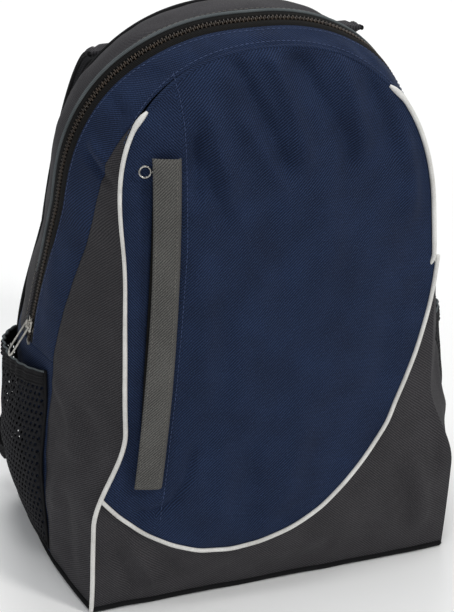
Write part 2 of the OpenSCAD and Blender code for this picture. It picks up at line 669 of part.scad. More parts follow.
handle_axis = [0, 77, 404];
handle_out_r = 38;
handle_leg = 18;
handle_t = 2.2;
module grab_handle() color(BLACK) translate(handle_axis) {
    rotate([90, 0, 0]) linear_extrude(handle_t, center = true) {
        for (s = [-1, 1])
            translate([s > 0 ? handle_out_r - handle_w : -handle_out_r, -handle_leg])
                square([handle_w, handle_leg]);
        translate([0, -handle_leg]) intersection() {
            difference() {
                circle(handle_out_r, $fn = 96);
                circle(handle_out_r - handle_w, $fn = 96);
            }
            translate([-handle_out_r - 1, -handle_out_r - 1])
                square([2 * handle_out_r + 2, handle_out_r + 1]);
        }
    }
    for (s = [-1, 1])
        translate([s * (handle_out_r - handle_w / 2), 0, 0]) rotate([0, 90, 0])
            cylinder(r = 1.4, h = handle_w, center = true, $fn = 32);
}

base_panel();
base_board();
back_panel();
back_pads();
rear_gusset();
left_side_rear();
right_side_rear();
left_side_panel_lower();
right_side_panel_lower();
front_panel_foot();
front_corner_foot();
arc_piping_lower();
left_piping_lower();
right_piping_lower();
zip_tape_rear();
zip_coil_rear();
zip_stops();
left_mesh_pocket();
right_mesh_pocket();
left_pocket_elastic();
right_pocket_elastic();
strap_yoke();
left_shoulder_strap();
right_shoulder_strap();
left_lock_loop();
right_lock_loop();
left_lower_webbing();
right_lower_webbing();
left_anchor_tab();
right_anchor_tab();
front_panel();
front_corner_panel();
front_gusset();
left_side_panel();
right_side_panel();
zip_tape_front();
zip_coil_front();
left_piping();
right_piping();
arc_piping();
pocket_lining();
pocket_zip_tape();
pocket_zip_coil();
main_slider();
main_pull();
pocket_slider();
pocket_pull();
storm_flap();
grab_handle();
left_ladder_lock();
right_ladder_lock();
left_webbing_tail();
right_webbing_tail();
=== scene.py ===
"""Looks of the school backpack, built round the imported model. All shapes are worked out in
millimetres in the frame of the CAD model (+Z up, front towards -Y) and stored in metres."""
import math

import bmesh
import bpy
import numpy as np
from mathutils import Matrix, Vector


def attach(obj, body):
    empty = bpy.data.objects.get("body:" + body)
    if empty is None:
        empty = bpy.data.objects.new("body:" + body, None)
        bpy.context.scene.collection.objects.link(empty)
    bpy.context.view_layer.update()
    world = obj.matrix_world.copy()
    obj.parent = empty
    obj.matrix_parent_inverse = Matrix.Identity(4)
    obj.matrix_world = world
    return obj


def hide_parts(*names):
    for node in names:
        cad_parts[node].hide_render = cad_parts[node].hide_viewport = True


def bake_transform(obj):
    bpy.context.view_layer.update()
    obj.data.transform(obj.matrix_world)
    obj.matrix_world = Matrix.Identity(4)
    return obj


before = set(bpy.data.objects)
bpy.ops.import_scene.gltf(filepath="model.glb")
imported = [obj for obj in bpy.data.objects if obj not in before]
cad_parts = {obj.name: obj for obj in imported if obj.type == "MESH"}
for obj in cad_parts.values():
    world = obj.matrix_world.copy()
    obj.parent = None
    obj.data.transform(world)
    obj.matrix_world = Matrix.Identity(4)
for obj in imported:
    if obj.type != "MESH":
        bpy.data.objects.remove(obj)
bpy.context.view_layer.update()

MM = 0.001

# ---- The bag's lofted surface, with the same dimensions as the CAD model ----

FRONT_H, CROWN_H, BACK_H = 419, 446, 430
FRONT_BASE_W, FRONT_W = 286, 238
BELLY_W, BELLY_TOP_W = 340, 300
BACK_BASE_W, BACK_W = 316, 248
FRONT_BASE_Y, BASE_DEPTH = -66, 164
FRONT_LEAN, FRONT_BOW = 68, 14
SPRING_Z, SPRING_A = 290, 0.55                    # where the arch springs: height, share of the run
FRONT_ROUND, BACK_ROUND = 2.3, 2.2                # how square the arches are (2 is an ellipse)
ZIP_END_Z = 180
ZIP_END_A = SPRING_A * ZIP_END_Z / SPRING_Z
ARC_LOW, ARC_LEFT, ARC_RIGHT = (-38, 45), (150, 226), (169.5, 252)


def ramp(lo, hi, x):
    t = np.clip((np.asarray(x, float) - lo) / (hi - lo), 0, 1)
    return t * t * (3 - 2 * t)


def mix(a, b, t):
    return a * (1 - t) + b * t


def unit(v):
    v = np.asarray(v, float)
    return v / np.maximum(np.linalg.norm(v, axis=-1, keepdims=True), 1e-12)


def stack(x, y, z):
    return np.stack(np.broadcast_arrays(x, y, z), -1).astype(float)


def seam(a, w_base, w_arch, z_lo, z_hi, h, p):
    """Half width and height of a seam line at the share a of its run from ground to crown."""
    phi = np.radians(90 * np.clip((a - SPRING_A) / (1 - SPRING_A), 0, 1))
    z = np.where(a < SPRING_A, SPRING_Z * a / SPRING_A, SPRING_Z + (h - SPRING_Z) * np.sin(phi) ** (2 / p))
    narrowing = np.where(a < SPRING_A, 1, np.maximum(np.cos(phi), 0) ** (2 / p))
    return mix(w_base, w_arch, ramp(z_lo, z_hi, z)) * narrowing, z


def front_y(z):
    return FRONT_BASE_Y + FRONT_LEAN * (np.maximum(z, 0) / FRONT_H) ** 1.3


def back_y(z):
    return FRONT_BASE_Y + BASE_DEPTH + 8 * np.sin(np.pi * np.clip(z / 300, 0, 1)) - 33 * ramp(150, 428, z)


def front_shift(z):
    return 8 * np.sin(np.pi * z / FRONT_H)


def rear_shift(z):
    return -14 * ramp(60, BACK_H, z)


def front_edge(u, d=0):
    u = np.asarray(u, float)
    x, z = seam(1 - np.abs(u), FRONT_BASE_W / 2 - d, FRONT_W / 2 - d, 75, 150, FRONT_H - d, FRONT_ROUND)
    return stack(np.sign(u) * x + front_shift(z), front_y(z) + d, z)


def belly_line(u, d=0):
    u = np.asarray(u, float)
    x, z = seam(1 - np.abs(u), BELLY_W / 2 - d, BELLY_TOP_W / 2 - d, 190, 330, CROWN_H - d, FRONT_ROUND)
    x = x + 14 * np.sin(np.pi * np.clip(z / 300, 0, 1))
    return stack(np.sign(u) * x + rear_shift(z), 22 + 16 * z / CROWN_H, z)


def back_edge(u, d=0):
    u = np.asarray(u, float)
    x, z = seam(1 - np.abs(u), BACK_BASE_W / 2 - d, BACK_W / 2 - d, 120, 310, BACK_H - d, BACK_ROUND)
    return stack(np.sign(u) * x + rear_shift(z), back_y(z) - d, z)


def band(u, v, d=0):
    """The side band: u from the left base corner over the crown to the right, v from front to back."""
    u, v = np.broadcast_arrays(np.asarray(u, float), np.asarray(v, float))
    w = v[..., None]
    return (1 - w) ** 2 * front_edge(u, d) + 2 * w * (1 - w) * belly_line(u, d) + w * w * back_edge(u, d)


def band_length(u):
    """Length of the band across, from the front seam to the back seam."""
    return 0.92 * (np.linalg.norm(belly_line(u) - front_edge(u), axis=-1)
                   + np.linalg.norm(back_edge(u) - belly_line(u), axis=-1))


def smooth_curve(points, width=0.05):
    """A soft-cornered function through a list of (x, y) points."""
    xs, ys = zip(*points)
    t = np.linspace(xs[0] - 0.2, xs[-1] + 0.2, 701)
    y = np.interp(t, xs, ys)
    n = max(1, int(width / (t[1] - t[0])))
    kernel = np.hanning(2 * n + 3)
    y = np.convolve(np.pad(y, n + 1, "edge"), kernel / kernel.sum(), "valid")
    return lambda x: np.interp(x, t, y)


# Where the main zip lies across the band, against the share of the run from the ground
ZIP_V = [(0, 0.64), (0.3, 0.62), (0.55, 0.54), (0.7, 0.43), (0.85, 0.34), (1, 0.3)]
zip_curve = smooth_curve(ZIP_V)
crescent_curve = smooth_curve([(0, 0.42), (0.25, 0.41), (0.33, 0.38), (0.42, 0.33), (0.5, 0.28),
                               (0.58, 0.2), (0.66, 0.11), (0.74, 0.03), (1, 0)], 0.03)


def zip_v(u):
    return zip_curve(1 - np.abs(u))


def zip_corner_v(u):
    """The zip's place across the band before its corners are softened."""
    return np.interp(1 - np.abs(u), *zip(*ZIP_V))


def crescent_v(u):
    return crescent_curve(1 - np.abs(u))


def front_half(z):
    """Half width of the front panel at a height."""
    t = np.clip((np.asarray(z, float) - SPRING_Z) / (FRONT_H - SPRING_Z), 0, 1)
    return mix(FRONT_BASE_W, FRONT_W, ramp(75, 150, z)) / 2 * (1 - t ** FRONT_ROUND) ** (1 / FRONT_ROUND)


def front_plain(x, z):
    """The front panel's surface with no folds in it."""
    half = np.maximum(front_half(z), 1)
    s = np.clip((x - front_shift(z)) / half, -1, 1)
    bow = FRONT_BOW * (1 - s * s) * ramp(0, 60, z) * np.minimum(1, 2 * half / FRONT_W) ** 1.5
    return stack(x, front_y(z) - bow, z)


def arc_z(x):
    """Height of the curved seam between the navy panel and the grey corner panel."""
    dx = np.asarray(x, float) - ARC_LOW[0]
    share = np.minimum(1, np.where(dx < 0, -dx / ARC_LEFT[0], dx / ARC_RIGHT[0]))
    return ARC_LOW[1] + np.where(dx < 0, ARC_LEFT[1], ARC_RIGHT[1]) * (1 - np.sqrt(1 - share ** 2))


# ---- Folds: each is a line on the surface, a half width and a height (negative for a valley) ----

def crumple(p, q, line, half_width, height):
    """Height of a fold that runs along a line of several points."""
    nearest, fade = np.inf, 1.0
    last = len(line) - 2
    for i, ((ax, ay), (bx, by)) in enumerate(zip(line[:-1], line[1:])):
        dx, dy = bx - ax, by - ay
        t = ((p - ax) * dx + (q - ay) * dy) / (dx * dx + dy * dy)
        t_in = np.clip(t, 0, 1)
        gap = np.hypot(p - ax - t_in * dx, q - ay - t_in * dy)
        ends = (ramp(0.0, 0.5, t) if i == 0 else 1.0) * (ramp(1.0, 0.5, t) if i == last else 1.0)
        closer = gap < nearest
        nearest, fade = np.where(closer, gap, nearest), np.where(closer, ends, fade)
    return height * np.exp(-(nearest / half_width) ** 2) * fade


FOLD_DEPTH = 1.7
# Folds of the front panel: the line's points (x, z), half width, height
FRONT_FOLDS = [
    (((-55, 374), (-56, 345), (-55, 312)), 4.2, -3.4), (((-50, 396), (-40, 357), (-28, 316)), 7, 3.2),
    (((-29, 424), (-12, 386), (-1, 364), (12, 326)), 6, -3.6),
    (((-5, 426), (7, 400), (15, 376), (26, 330)), 6.5, 3.2),
    (((14, 427), (30, 398), (55, 355), (60, 326)), 6.5, -3.2), (((50, 412), (64, 369), (72, 335)), 7, 2.8),
    (((70, 402), (88, 360), (95, 325)), 7, -2.8), (((-27, 384), (-8, 350), (12, 312)), 6, 2.2),
    (((-52, 362), (-46, 330), (-33, 296)), 6, -2.6), (((100, 365), (108, 320), (108, 270)), 9, 2.0),
    (((34, 340), (40, 290), (36, 230)), 12, 1.5), (((-14, 330), (2, 280), (4, 220)), 12, -1.5),
    (((-55, 290), (-52, 230), (-58, 170)), 9, 1.6), (((-42, 262), (-40, 200), (-44, 140)), 9, -1.4),
    (((-112, 84), (-98, 83), (-82, 90), (-70, 108), (-64, 140)), 3.2, -2.2),
    (((-44, 150), (-42, 110), (-44, 56)), 8, 1.5), (((-24, 140), (-20, 100), (-22, 55)), 8, -1.5),
    (((20, 170), (14, 120), (2, 64)), 11, 1.2), (((96, 240), (90, 190), (78, 130)), 12, -1.4),
    (((-118, 70), (-104, 40), (-92, 8)), 6, 2.2), (((-128, 62), (-118, 34), (-112, 8)), 5, -2.2),
    (((-96, 60), (-84, 34), (-76, 10)), 7, -1.6), (((92, 96), (108, 60), (112, 14)), 7, -2.4),
    (((110, 104), (122, 64), (126, 20)), 7, 2.4), (((128, 130), (134, 96), (138, 60)), 5, -2.0),
    (((60, 70), (76, 40), (80, 10)), 9, -1.2), (((-30, 34), (10, 26), (50, 34)), 9, 1.0),
]


def wave_noise(p, q, scale, seed):
    """Smooth seeded unevenness between about -1 and 1, with waves about scale long."""
    rng = np.random.default_rng(seed)
    total = 0
    for _ in range(7):
        angle, phase, k = rng.uniform(0, 2 * math.pi), rng.uniform(0, 2 * math.pi), rng.uniform(0.6, 1.7)
        total = total + np.sin(2 * math.pi * k / scale * (p * math.cos(angle) + q * math.sin(angle)) + phase)
    return total / 3.2


def front_relief(x, z):
    """How far the folds lift the front panel from its plain surface."""
    half = np.maximum(front_half(z), 1)
    s = np.clip((x - front_shift(z)) / half, -1, 1)
    h = 0.9 * wave_noise(x, z, 95, 3) + 0.35 * wave_noise(x, z, 38, 4)
    for line, width, height in FRONT_FOLDS:
        h = h + crumple(x, z, line, width, FOLD_DEPTH * height)
    edge = ramp(1.0, 0.86, np.abs(s)) * ramp(0, 12, z) * ramp(FRONT_H, FRONT_H - 10, z)
    return h * edge


def front_normal(x, z, step=1.0):
    """Outward normals of the front panel's plain surface."""
    return unit(np.cross(front_plain(x + step, z) - front_plain(x - step, z),
                         front_plain(x, z + step) - front_plain(x, z - step)))


def front_surface(x, z, lift=0):
    """Points on the folded front panel, lifted off it by lift."""
    p = front_plain(x, z)
    return p + front_normal(x, z) * (front_relief(x, z) + lift)[..., None]


# ---- Meshes ----

def quads(rows, cols, start=0):
    k = start + np.arange(rows * cols).reshape(rows, cols)
    return np.stack([k[:-1, :-1], k[1:, :-1], k[1:, 1:], k[:-1, 1:]], -1).reshape(-1, 4)


LEAN, LEAN_X, LEAN_Z = 6.5, -126, 285             # how far the left edge leans in, and where most


def leaned(points):
    """The left edge of the front leans in a little at two thirds of the height."""
    p = np.asarray(points, float)
    x, y, z = p[..., 0], p[..., 1], p[..., 2]
    shift = LEAN * np.exp(-((x - LEAN_X) / 24) ** 2 - ((z - LEAN_Z) / 62) ** 2) * ramp(60, 0, y)
    return p + stack(shift, 0, 0)


def add_mesh(name, verts, faces, materials, uv, face_slots=None):
    """A mesh object from points in millimetres, with one UV unit to the millimetre."""
    mesh = bpy.data.meshes.new(name)
    mesh.from_pydata((leaned(verts) * MM).tolist(), [], [tuple(int(i) for i in f) for f in faces])
    for material in materials:
        mesh.materials.append(material)
    corner = np.zeros(len(mesh.loops), np.int32)
    mesh.loops.foreach_get("vertex_index", corner)
    mesh.uv_layers.new(name="UVMap").data.foreach_set("uv", np.asarray(uv, np.float32)[corner].ravel())
    if face_slots is not None:
        mesh.polygons.foreach_set("material_index", np.asarray(face_slots, np.int32))
    mesh.polygons.foreach_set("use_smooth", [True] * len(mesh.polygons))
    mesh.validate()
    piece = bpy.data.objects.new(name, mesh)
    bpy.context.scene.collection.objects.link(piece)
    return piece


def place(piece, where, nodes=()):
    """Rides a piece on a body, or bakes its transform into its mesh and leaves it unattached when where is
    "fold".
    """
    if where == "fold":
        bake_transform(piece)
    else:
        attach(piece, where)
    if nodes:
        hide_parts(*nodes)
    return piece


def grid_uv(points):
    """Millimetres along the columns and rows of a grid of points."""
    across = np.linalg.norm(np.diff(points, axis=1), axis=-1)
    along = np.linalg.norm(np.diff(points, axis=0), axis=-1)
    u = np.concatenate([np.zeros((len(points), 1)), np.cumsum(across, 1)], 1)
    v = np.concatenate([np.zeros((1, points.shape[1])), np.cumsum(along, 0)], 0)
    return np.stack([u - u.mean(1, keepdims=True), v], -1)


def sheet_mesh(name, outer, inner, materials, uv=None, outer_slots=None):
    """A closed sheet between two grids of points. The last material is the inner side's."""
    rows, cols = outer.shape[:2]
    n = rows * cols
    top = quads(rows, cols)
    bottom = quads(rows, cols, n)[:, ::-1]
    ring = np.concatenate([np.arange(cols), np.arange(1, rows) * cols + cols - 1,
                           (rows - 1) * cols + np.arange(cols - 2, -1, -1),
                           np.arange(rows - 2, 0, -1) * cols])
    following = np.roll(ring, -1)
    rim = np.stack([ring, following, following + n, ring + n], -1)
    uv = grid_uv(outer) if uv is None else uv
    slots = np.zeros(len(top) + len(bottom) + len(rim), int)
    if outer_slots is not None:
        slots[:len(top)] = outer_slots
    slots[len(top):len(top) + len(bottom)] = len(materials) - 1
    return add_mesh(name, np.concatenate([outer.reshape(-1, 3), inner.reshape(-1, 3)]),
                    np.concatenate([top, bottom, rim]), materials,
                    np.concatenate([uv.reshape(-1, 2)] * 2), slots)


def joined(name, parts, material, where, nodes=()):
    """One piece from several (vertices, faces, uv) parts, placed on its body."""
    verts, faces, uvs, start = [], [], [], 0
    for v, f, uv in parts:
        verts.append(v)
        uvs.append(uv)
        faces += [[i + start for i in face] for face in f]
        start += len(v)
    piece = add_mesh(name, np.concatenate(verts), faces, [material], np.concatenate(uvs))
    return place(piece, where, nodes)


def frames_along(path, side):
    """Tangent, sideways and upward unit vectors along a path; side is the rough sideways direction."""
    tangent = unit(np.gradient(path, axis=0))
    side = np.broadcast_to(np.asarray(side, float), path.shape)
    across = unit(side - tangent * np.sum(side * tangent, -1, keepdims=True))
    return tangent, across, np.cross(across, tangent)


def tube_part(path, radius, side=(0, 1, 0), sides=10, flat=1.0):
    """A round cord with closed ends. flat squashes it across its upward direction."""
    path = np.asarray(path, float)
    radius = np.broadcast_to(np.asarray(radius, float), (len(path),))
    tangent, across, up = frames_along(path, side)
    angle = np.linspace(0, 2 * math.pi, sides, endpoint=False)
    ring = np.cos(angle)[None, :, None] * across[:, None] + flat * np.sin(angle)[None, :, None] * up[:, None]
    verts = (path[:, None] + radius[:, None, None] * ring).reshape(-1, 3)
    faces = []
    for i in range(len(path) - 1):
        for k in range(sides):
            a, b = i * sides + k, i * sides + (k + 1) % sides
            faces.append([a, b, b + sides, a + sides])
    faces.append(list(range(sides))[::-1])
    faces.append([(len(path) - 1) * sides + k for k in range(sides)])
    run = np.concatenate([[0], np.cumsum(np.linalg.norm(np.diff(path, axis=0), axis=1))])
    uv = np.stack(np.broadcast_arrays(angle[None] * radius.mean(), run[:, None]), -1).reshape(-1, 2)
    return verts, faces, uv


def cord(name, path, radius, material, where, slot="black_fabric", nodes=(), **shape):
    """A round cord or binding along a path, placed on its body. shape is what tube_part takes."""
    verts, faces, uv = tube_part(path, radius, **shape)
    return place(add_mesh(name, verts, faces, [material], uv), where, nodes)


def cloth(name, outer, inner, materials, where, nodes=(), uv=None, face_slots=None):
    """A sheet of cloth between two grids, placed on its body, with its flat length worked out."""
    piece = place(sheet_mesh(name, outer, inner, materials, uv, face_slots), where, nodes)
    declare_sheet(outer)
    return piece


def ribbon(name, path, side, width, thick, materials, cols=7, crown=0.0):
    """A flat band along a path, with its rows of points across it; crown rounds its upper face."""
    path = np.asarray(path, float)
    _, across, up = frames_along(path, side)
    width = np.broadcast_to(np.asarray(width, float), (len(path),))[:, None, None]
    c = np.linspace(-1, 1, cols)[None, :, None]
    middle = path[:, None] + across[:, None] * width / 2 * c
    height = thick / 2 + crown * (1 - c * c)
    outer, inner = middle - up[:, None] * height, middle + up[:, None] * height
    return sheet_mesh(name, outer, inner, materials)


def resample(points, step):
    """A polyline with even steps."""
    points = np.asarray(points, float)
    run = np.concatenate([[0], np.cumsum(np.linalg.norm(np.diff(points, axis=0), axis=1))])
    at = np.linspace(0, run[-1], max(3, int(round(run[-1] / step)) + 1))
    return np.stack([np.interp(at, run, points[:, k]) for k in range(points.shape[1])], -1)


def bezier(points, n):
    p = np.asarray(points, float)
    t = np.linspace(0, 1, n)[:, None]
    return (1 - t) ** 3 * p[0] + 3 * t * (1 - t) ** 2 * p[1] + 3 * t * t * (1 - t) * p[2] + t ** 3 * p[3]


def stitch_parts(path, outward, length=2.6, gap=1.2, radius=0.3):
    """Short raised stitches along a path of points with outward normals."""
    both = resample(np.concatenate([path, np.broadcast_to(outward, np.shape(path))], 1), length + gap)
    parts = []
    for i in range(len(both) - 1):
        a, b = both[i, :3], both[i + 1, :3]
        out = unit(both[i, 3:])
        share = length / (length + gap)
        run = np.array([0, 0.12, 0.5, 0.88, 1]) * share
        lift = np.array([-0.25, 0.05, 0.14, 0.05, -0.25])
        line = a + (b - a) * run[:, None] + out * lift[:, None]
        parts.append(tube_part(line, radius * np.array([0.6, 0.9, 1, 0.9, 0.6]), out, sides=5))
    return parts


# ---- Materials ----

def node_material(name, rough=0.8, metallic=0.0, sheen=0.0, coat=0.0, specular=0.5):
    material = bpy.data.materials.new(name)
    material.use_nodes = True
    tree = material.node_tree
    shader = tree.nodes["Principled BSDF"]
    shader.inputs["Roughness"].default_value = rough
    shader.inputs["Metallic"].default_value = metallic
    shader.inputs["Sheen Weight"].default_value = sheen
    shader.inputs["Sheen Roughness"].default_value = 0.5
    shader.inputs["Coat Weight"].default_value = coat
    shader.inputs["Specular IOR Level"].default_value = specular
    return material, tree, shader


def coords(tree, source, angle=0.0, scale=(1, 1, 1)):
    where = tree.nodes.new("ShaderNodeTexCoord")
    turn = tree.nodes.new("ShaderNodeMapping")
    turn.inputs["Rotation"].default_value = (0, 0, angle)
    turn.inputs["Scale"].default_value = scale
    tree.links.new(where.outputs[source], turn.inputs["Vector"])
    return turn.outputs["Vector"]


def wave(tree, vector, period, distortion=0.0, detail_scale=1.0):
    """Sine bands across the vector's X, from 0 to 1, one period long."""
    node = tree.nodes.new("ShaderNodeTexWave")
    node.inputs["Scale"].default_value = math.pi / 10 / period
    node.inputs["Distortion"].default_value = distortion
    node.inputs["Detail"].default_value = 1
    node.inputs["Detail Scale"].default_value = detail_scale
    tree.links.new(vector, node.inputs["Vector"])
    return node.outputs["Fac"]


def noise(tree, vector, size, detail=3.0):
    """Noise with features about size long in the vector's unit."""
    node = tree.nodes.new("ShaderNodeTexNoise")
    node.inputs["Scale"].default_value = 1 / size
    node.inputs["Detail"].default_value = detail
    tree.links.new(vector, node.inputs["Vector"])
    return node.outputs["Fac"]


def maths(tree, operation, a, b):
    node = tree.nodes.new("ShaderNodeMath")
    node.operation = operation
    for socket, value in zip(node.inputs, (a, b)):
        if isinstance(value, (int, float)):
            socket.default_value = value
        else:
            tree.links.new(value, socket)
    return node.outputs[0]


def blend_of(tree, terms):
    """The weighted sum of several textures."""
    total = 0.0
    for value, weight in terms:
        total = maths(tree, "ADD", maths(tree, "MULTIPLY", value, weight), total)
    return total


def colour_ramp(tree, fac, stops):
    node = tree.nodes.new("ShaderNodeValToRGB")
    ramp_stops = node.color_ramp.elements
    while len(ramp_stops) < len(stops):
        ramp_stops.new(0.5)
    for stop, (position, colour) in zip(ramp_stops, stops):
        stop.position = position
        stop.color = (*colour, 1)
    tree.links.new(fac, node.inputs["Fac"])
    return node.outputs["Color"]


def add_bump(tree, shader, height, distance, strength=1.0):
    node = tree.nodes.new("ShaderNodeBump")
    node.inputs["Strength"].default_value = strength
    node.inputs["Distance"].default_value = distance
    tree.links.new(height, node.inputs["Height"])
    tree.links.new(node.outputs["Normal"], shader.inputs["Normal"])


def rgb(text):
    """A linear colour from its hexadecimal form."""
    value = [int(text[i:i + 2], 16) / 255 for i in (0, 2, 4)]
    return tuple(c / 12.92 if c <= 0.04045 else ((c + 0.055) / 1.055) ** 2.4 for c in value)


def twill(name, dark, middle, light, angle, period=1.6, rough=0.82, sheen=0.015):
    """Polyester twill: diagonal ribs broken by the crossing yarn, faded patches and lint."""
    material, tree, shader = node_material(name, rough, sheen=sheen, specular=0.16)
    flat = coords(tree, "UV")
    ribs = wave(tree, coords(tree, "UV", angle), period, 0.35, 0.6)
    crossing = coords(tree, "UV", angle + math.radians(62))
    yarn = wave(tree, crossing, period * 0.62, 0.5, 0.9)
    grain = noise(tree, flat, 0.9)
    patches = noise(tree, flat, 34, 4)
    shade = blend_of(tree, [(ribs, 0.22), (yarn, 0.16), (grain, 0.42), (patches, 0.2)])
    colour = colour_ramp(tree, shade, [(0.36, dark), (0.5, middle), (0.64, light)])
    lint = maths(tree, "GREATER_THAN", noise(tree, flat, 0.7, 0), 0.76)
    mixer = tree.nodes.new("ShaderNodeMix")
    mixer.data_type = "RGBA"
    tree.links.new(maths(tree, "MULTIPLY", lint, 0.35), mixer.inputs[0])
    tree.links.new(colour, mixer.inputs[6])
    mixer.inputs[7].default_value = (*[min(1, 2.2 * c + 0.05) for c in light], 1)
    tree.links.new(mixer.outputs[2], shader.inputs["Base Color"])
    uneven = blend_of(tree, [(patches, 0.14), (ribs, -0.08), (rough - 0.03, 1.0)])
    tree.links.new(uneven, shader.inputs["Roughness"])
    height = blend_of(tree, [(ribs, 0.6), (yarn, 0.3), (grain, 0.5)])
    add_bump(tree, shader, height, 0.0003, 0.7)
    return material


def plain_fabric(name, dark, light, period=0.9, rough=0.85, ribs=True):
    """A fine plain weave or tape, with its ribs along one direction."""
    material, tree, shader = node_material(name, rough, sheen=0.01, specular=0.16)
    flat = coords(tree, "UV")
    warp = wave(tree, flat, period, 0.2)
    weft = wave(tree, coords(tree, "UV", math.pi / 2), period * (1.6 if ribs else 1), 0.2)
    grain = noise(tree, flat, 0.8)
    patches = noise(tree, flat, 22, 3)
    shade = blend_of(tree, [(warp, 0.2), (weft, 0.24), (grain, 0.24), (patches, 0.32)])
    tree.links.new(colour_ramp(tree, shade, [(0.3, dark), (0.72, light)]), shader.inputs["Base Color"])
    tree.links.new(blend_of(tree, [(patches, 0.15), (rough - 0.08, 1.0)]), shader.inputs["Roughness"])
    add_bump(tree, shader, blend_of(tree, [(warp, 0.5), (weft, 0.7)]), 0.00025, 0.8)
    return material


def solid_surface(name, dark, light, rough, metallic=0.0, grain_size=0.002, patch_size=0.012, coat=0.0,
                  bump=0.00005, specular=0.5):
    """Metal, plastic or cord, worn and marked unevenly. It takes its grain from object space."""
    material, tree, shader = node_material(name, rough, metallic, coat=coat, specular=specular)
    spot = coords(tree, "Object")
    grain = noise(tree, spot, grain_size, 4)
    patches = noise(tree, spot, patch_size, 3)
    shade = blend_of(tree, [(grain, 0.45), (patches, 0.55)])
    tree.links.new(colour_ramp(tree, shade, [(0.35, dark), (0.65, light)]), shader.inputs["Base Color"])
    tree.links.new(blend_of(tree, [(patches, 0.25), (grain, 0.12), (rough - 0.17, 1.0)]),
              shader.inputs["Roughness"])
    add_bump(tree, shader, grain, bump, 0.6)
    return material


def air_mesh_fabric(name, dark, light):
    """Spacer mesh: close round holes in a soft knit, with the holes painted darker than their rims as painted
    shade in the hollows.
    """
    material, tree, shader = node_material(name, 0.9, sheen=0.02, specular=0.15)
    flat = coords(tree, "UV", 0, (1, 0.8, 1))
    cells = tree.nodes.new("ShaderNodeTexVoronoi")
    cells.inputs["Scale"].default_value = 0.42
    cells.inputs["Randomness"].default_value = 0.15
    tree.links.new(flat, cells.inputs["Vector"])
    holes = maths(tree, "MINIMUM", maths(tree, "MULTIPLY", cells.outputs["Distance"], 1.7), 1.0)
    grain = noise(tree, flat, 0.7)
    # Painted shade: the holes come out darker than the rims around them. The same tone also gives the bump.
    shade = blend_of(tree, [(holes, 0.7), (grain, 0.35)])
    tree.links.new(colour_ramp(tree, shade, [(0.2, dark), (0.85, light)]), shader.inputs["Base Color"])
    tree.links.new(blend_of(tree, [(grain, 0.1), (0.85, 1.0)]), shader.inputs["Roughness"])
    add_bump(tree, shader, shade, 0.0007, 0.8)
    return material


NAVY = rgb("0b1325"), rgb("18243d"), rgb("2b3b5b")
GREY = rgb("232225"), rgb("363537"), rgb("4a484b")
FLAP_GREY = rgb("363534"), rgb("52514f"), rgb("706f6b")
DIAGONAL = math.radians(45)
navy_main = twill("navy_twill", *NAVY, DIAGONAL)
navy_strip = twill("navy_twill_strip", *NAVY, -DIAGONAL)
navy_side = twill("navy_twill_side", *NAVY, -DIAGONAL)
grey_twill = twill("charcoal_twill", *GREY, -DIAGONAL)
flap_twill = twill("flap_twill", *FLAP_GREY, DIAGONAL)
lining = plain_fabric("black_lining", rgb("0c0c0e"), rgb("1d1d20"), 0.8)
tape_black = plain_fabric("zip_tape_weave", rgb("070707"), rgb("1b1a19"), 0.9)
webbing_black = plain_fabric("webbing_weave", rgb("0a0a0b"), rgb("232325"), 1.5)
binding_black = plain_fabric("binding_weave", rgb("09090a"), rgb("1e1e20"), 0.7)
binding_grey = plain_fabric("grey_binding_weave", rgb("3c4244"), rgb("6a7072"), 0.7)
knit_black = plain_fabric("mesh_knit", rgb("08080a"), rgb("26262a"), 0.5)
air_black = air_mesh_fabric("air_mesh", rgb("0c0c0d"), rgb("2e2e31"))
white_cord = solid_surface("white_piping", rgb("c9c7c2"), rgb("efeeea"), 0.5,
                           grain_size=0.0008, patch_size=0.02)
coil_brown = solid_surface("zip_teeth", rgb("0a0806"), rgb("3f3020"), 0.55,
                           grain_size=0.0012, patch_size=0.003)
nickel = solid_surface("zip_metal", rgb("8f8c86"), rgb("d5d2cb"), 0.3, 1.0,
                       grain_size=0.0006, patch_size=0.004)
plastic = solid_surface("black_plastic", rgb("101011"), rgb("252527"), 0.5, grain_size=0.0005, bump=0.00008)
navy_thread = solid_surface("navy_thread", rgb("2b3a5c"), rgb("4b5d86"), 0.6, grain_size=0.0005)
grey_thread = solid_surface("grey_thread", rgb("55534f"), rgb("7d7a73"), 0.6, grain_size=0.0005)


def declare_sheet(points, length=None):
    """Works out the length, in metres, that a sheet's grid of points measures, and keeps nothing. A given
    length, in metres, takes the place of the measured one."""
    p = points * MM
    length = round(length or float(np.linalg.norm(np.diff(p, axis=0), axis=-1).sum(0).max()), 4)


# ---- Front panels ----

POCKET_LO_Z, POCKET_HI_Z = 126, 350
WALL = 1.6                                        # thickness of the cloth with its lining
POCKET_ENDS = front_plain(np.array([-97.0, -77.5]), np.array([POCKET_LO_Z, POCKET_HI_Z]))
ZIP_UP = unit(POCKET_ENDS[1] - POCKET_ENDS[0])
ZIP_LEN = float(np.linalg.norm(POCKET_ENDS[1] - POCKET_ENDS[0]))
chord = np.diff(front_plain(np.array([-94.0, -82.0]), np.array([238.0, 238.0])), axis=0)[0]
ZIP_ACROSS = unit(chord - ZIP_UP * (chord @ ZIP_UP))
ZIP_OUT = np.cross(ZIP_ACROSS, ZIP_UP)
ZIP_CENTRE = POCKET_ENDS.mean(0) + 1.5 * ZIP_OUT


def in_zip_frame(x, y, z):
    x, y, z = np.broadcast_arrays(*(np.asarray(k, float) for k in (x, y, z)))
    return ZIP_CENTRE + x[..., None] * ZIP_ACROSS + y[..., None] * ZIP_UP + z[..., None] * ZIP_OUT


def edge_roll(z):
    """How far the right edge of the front rolls back over its piping, below the end of the curved seam."""
    return ramp(266, 250, z)


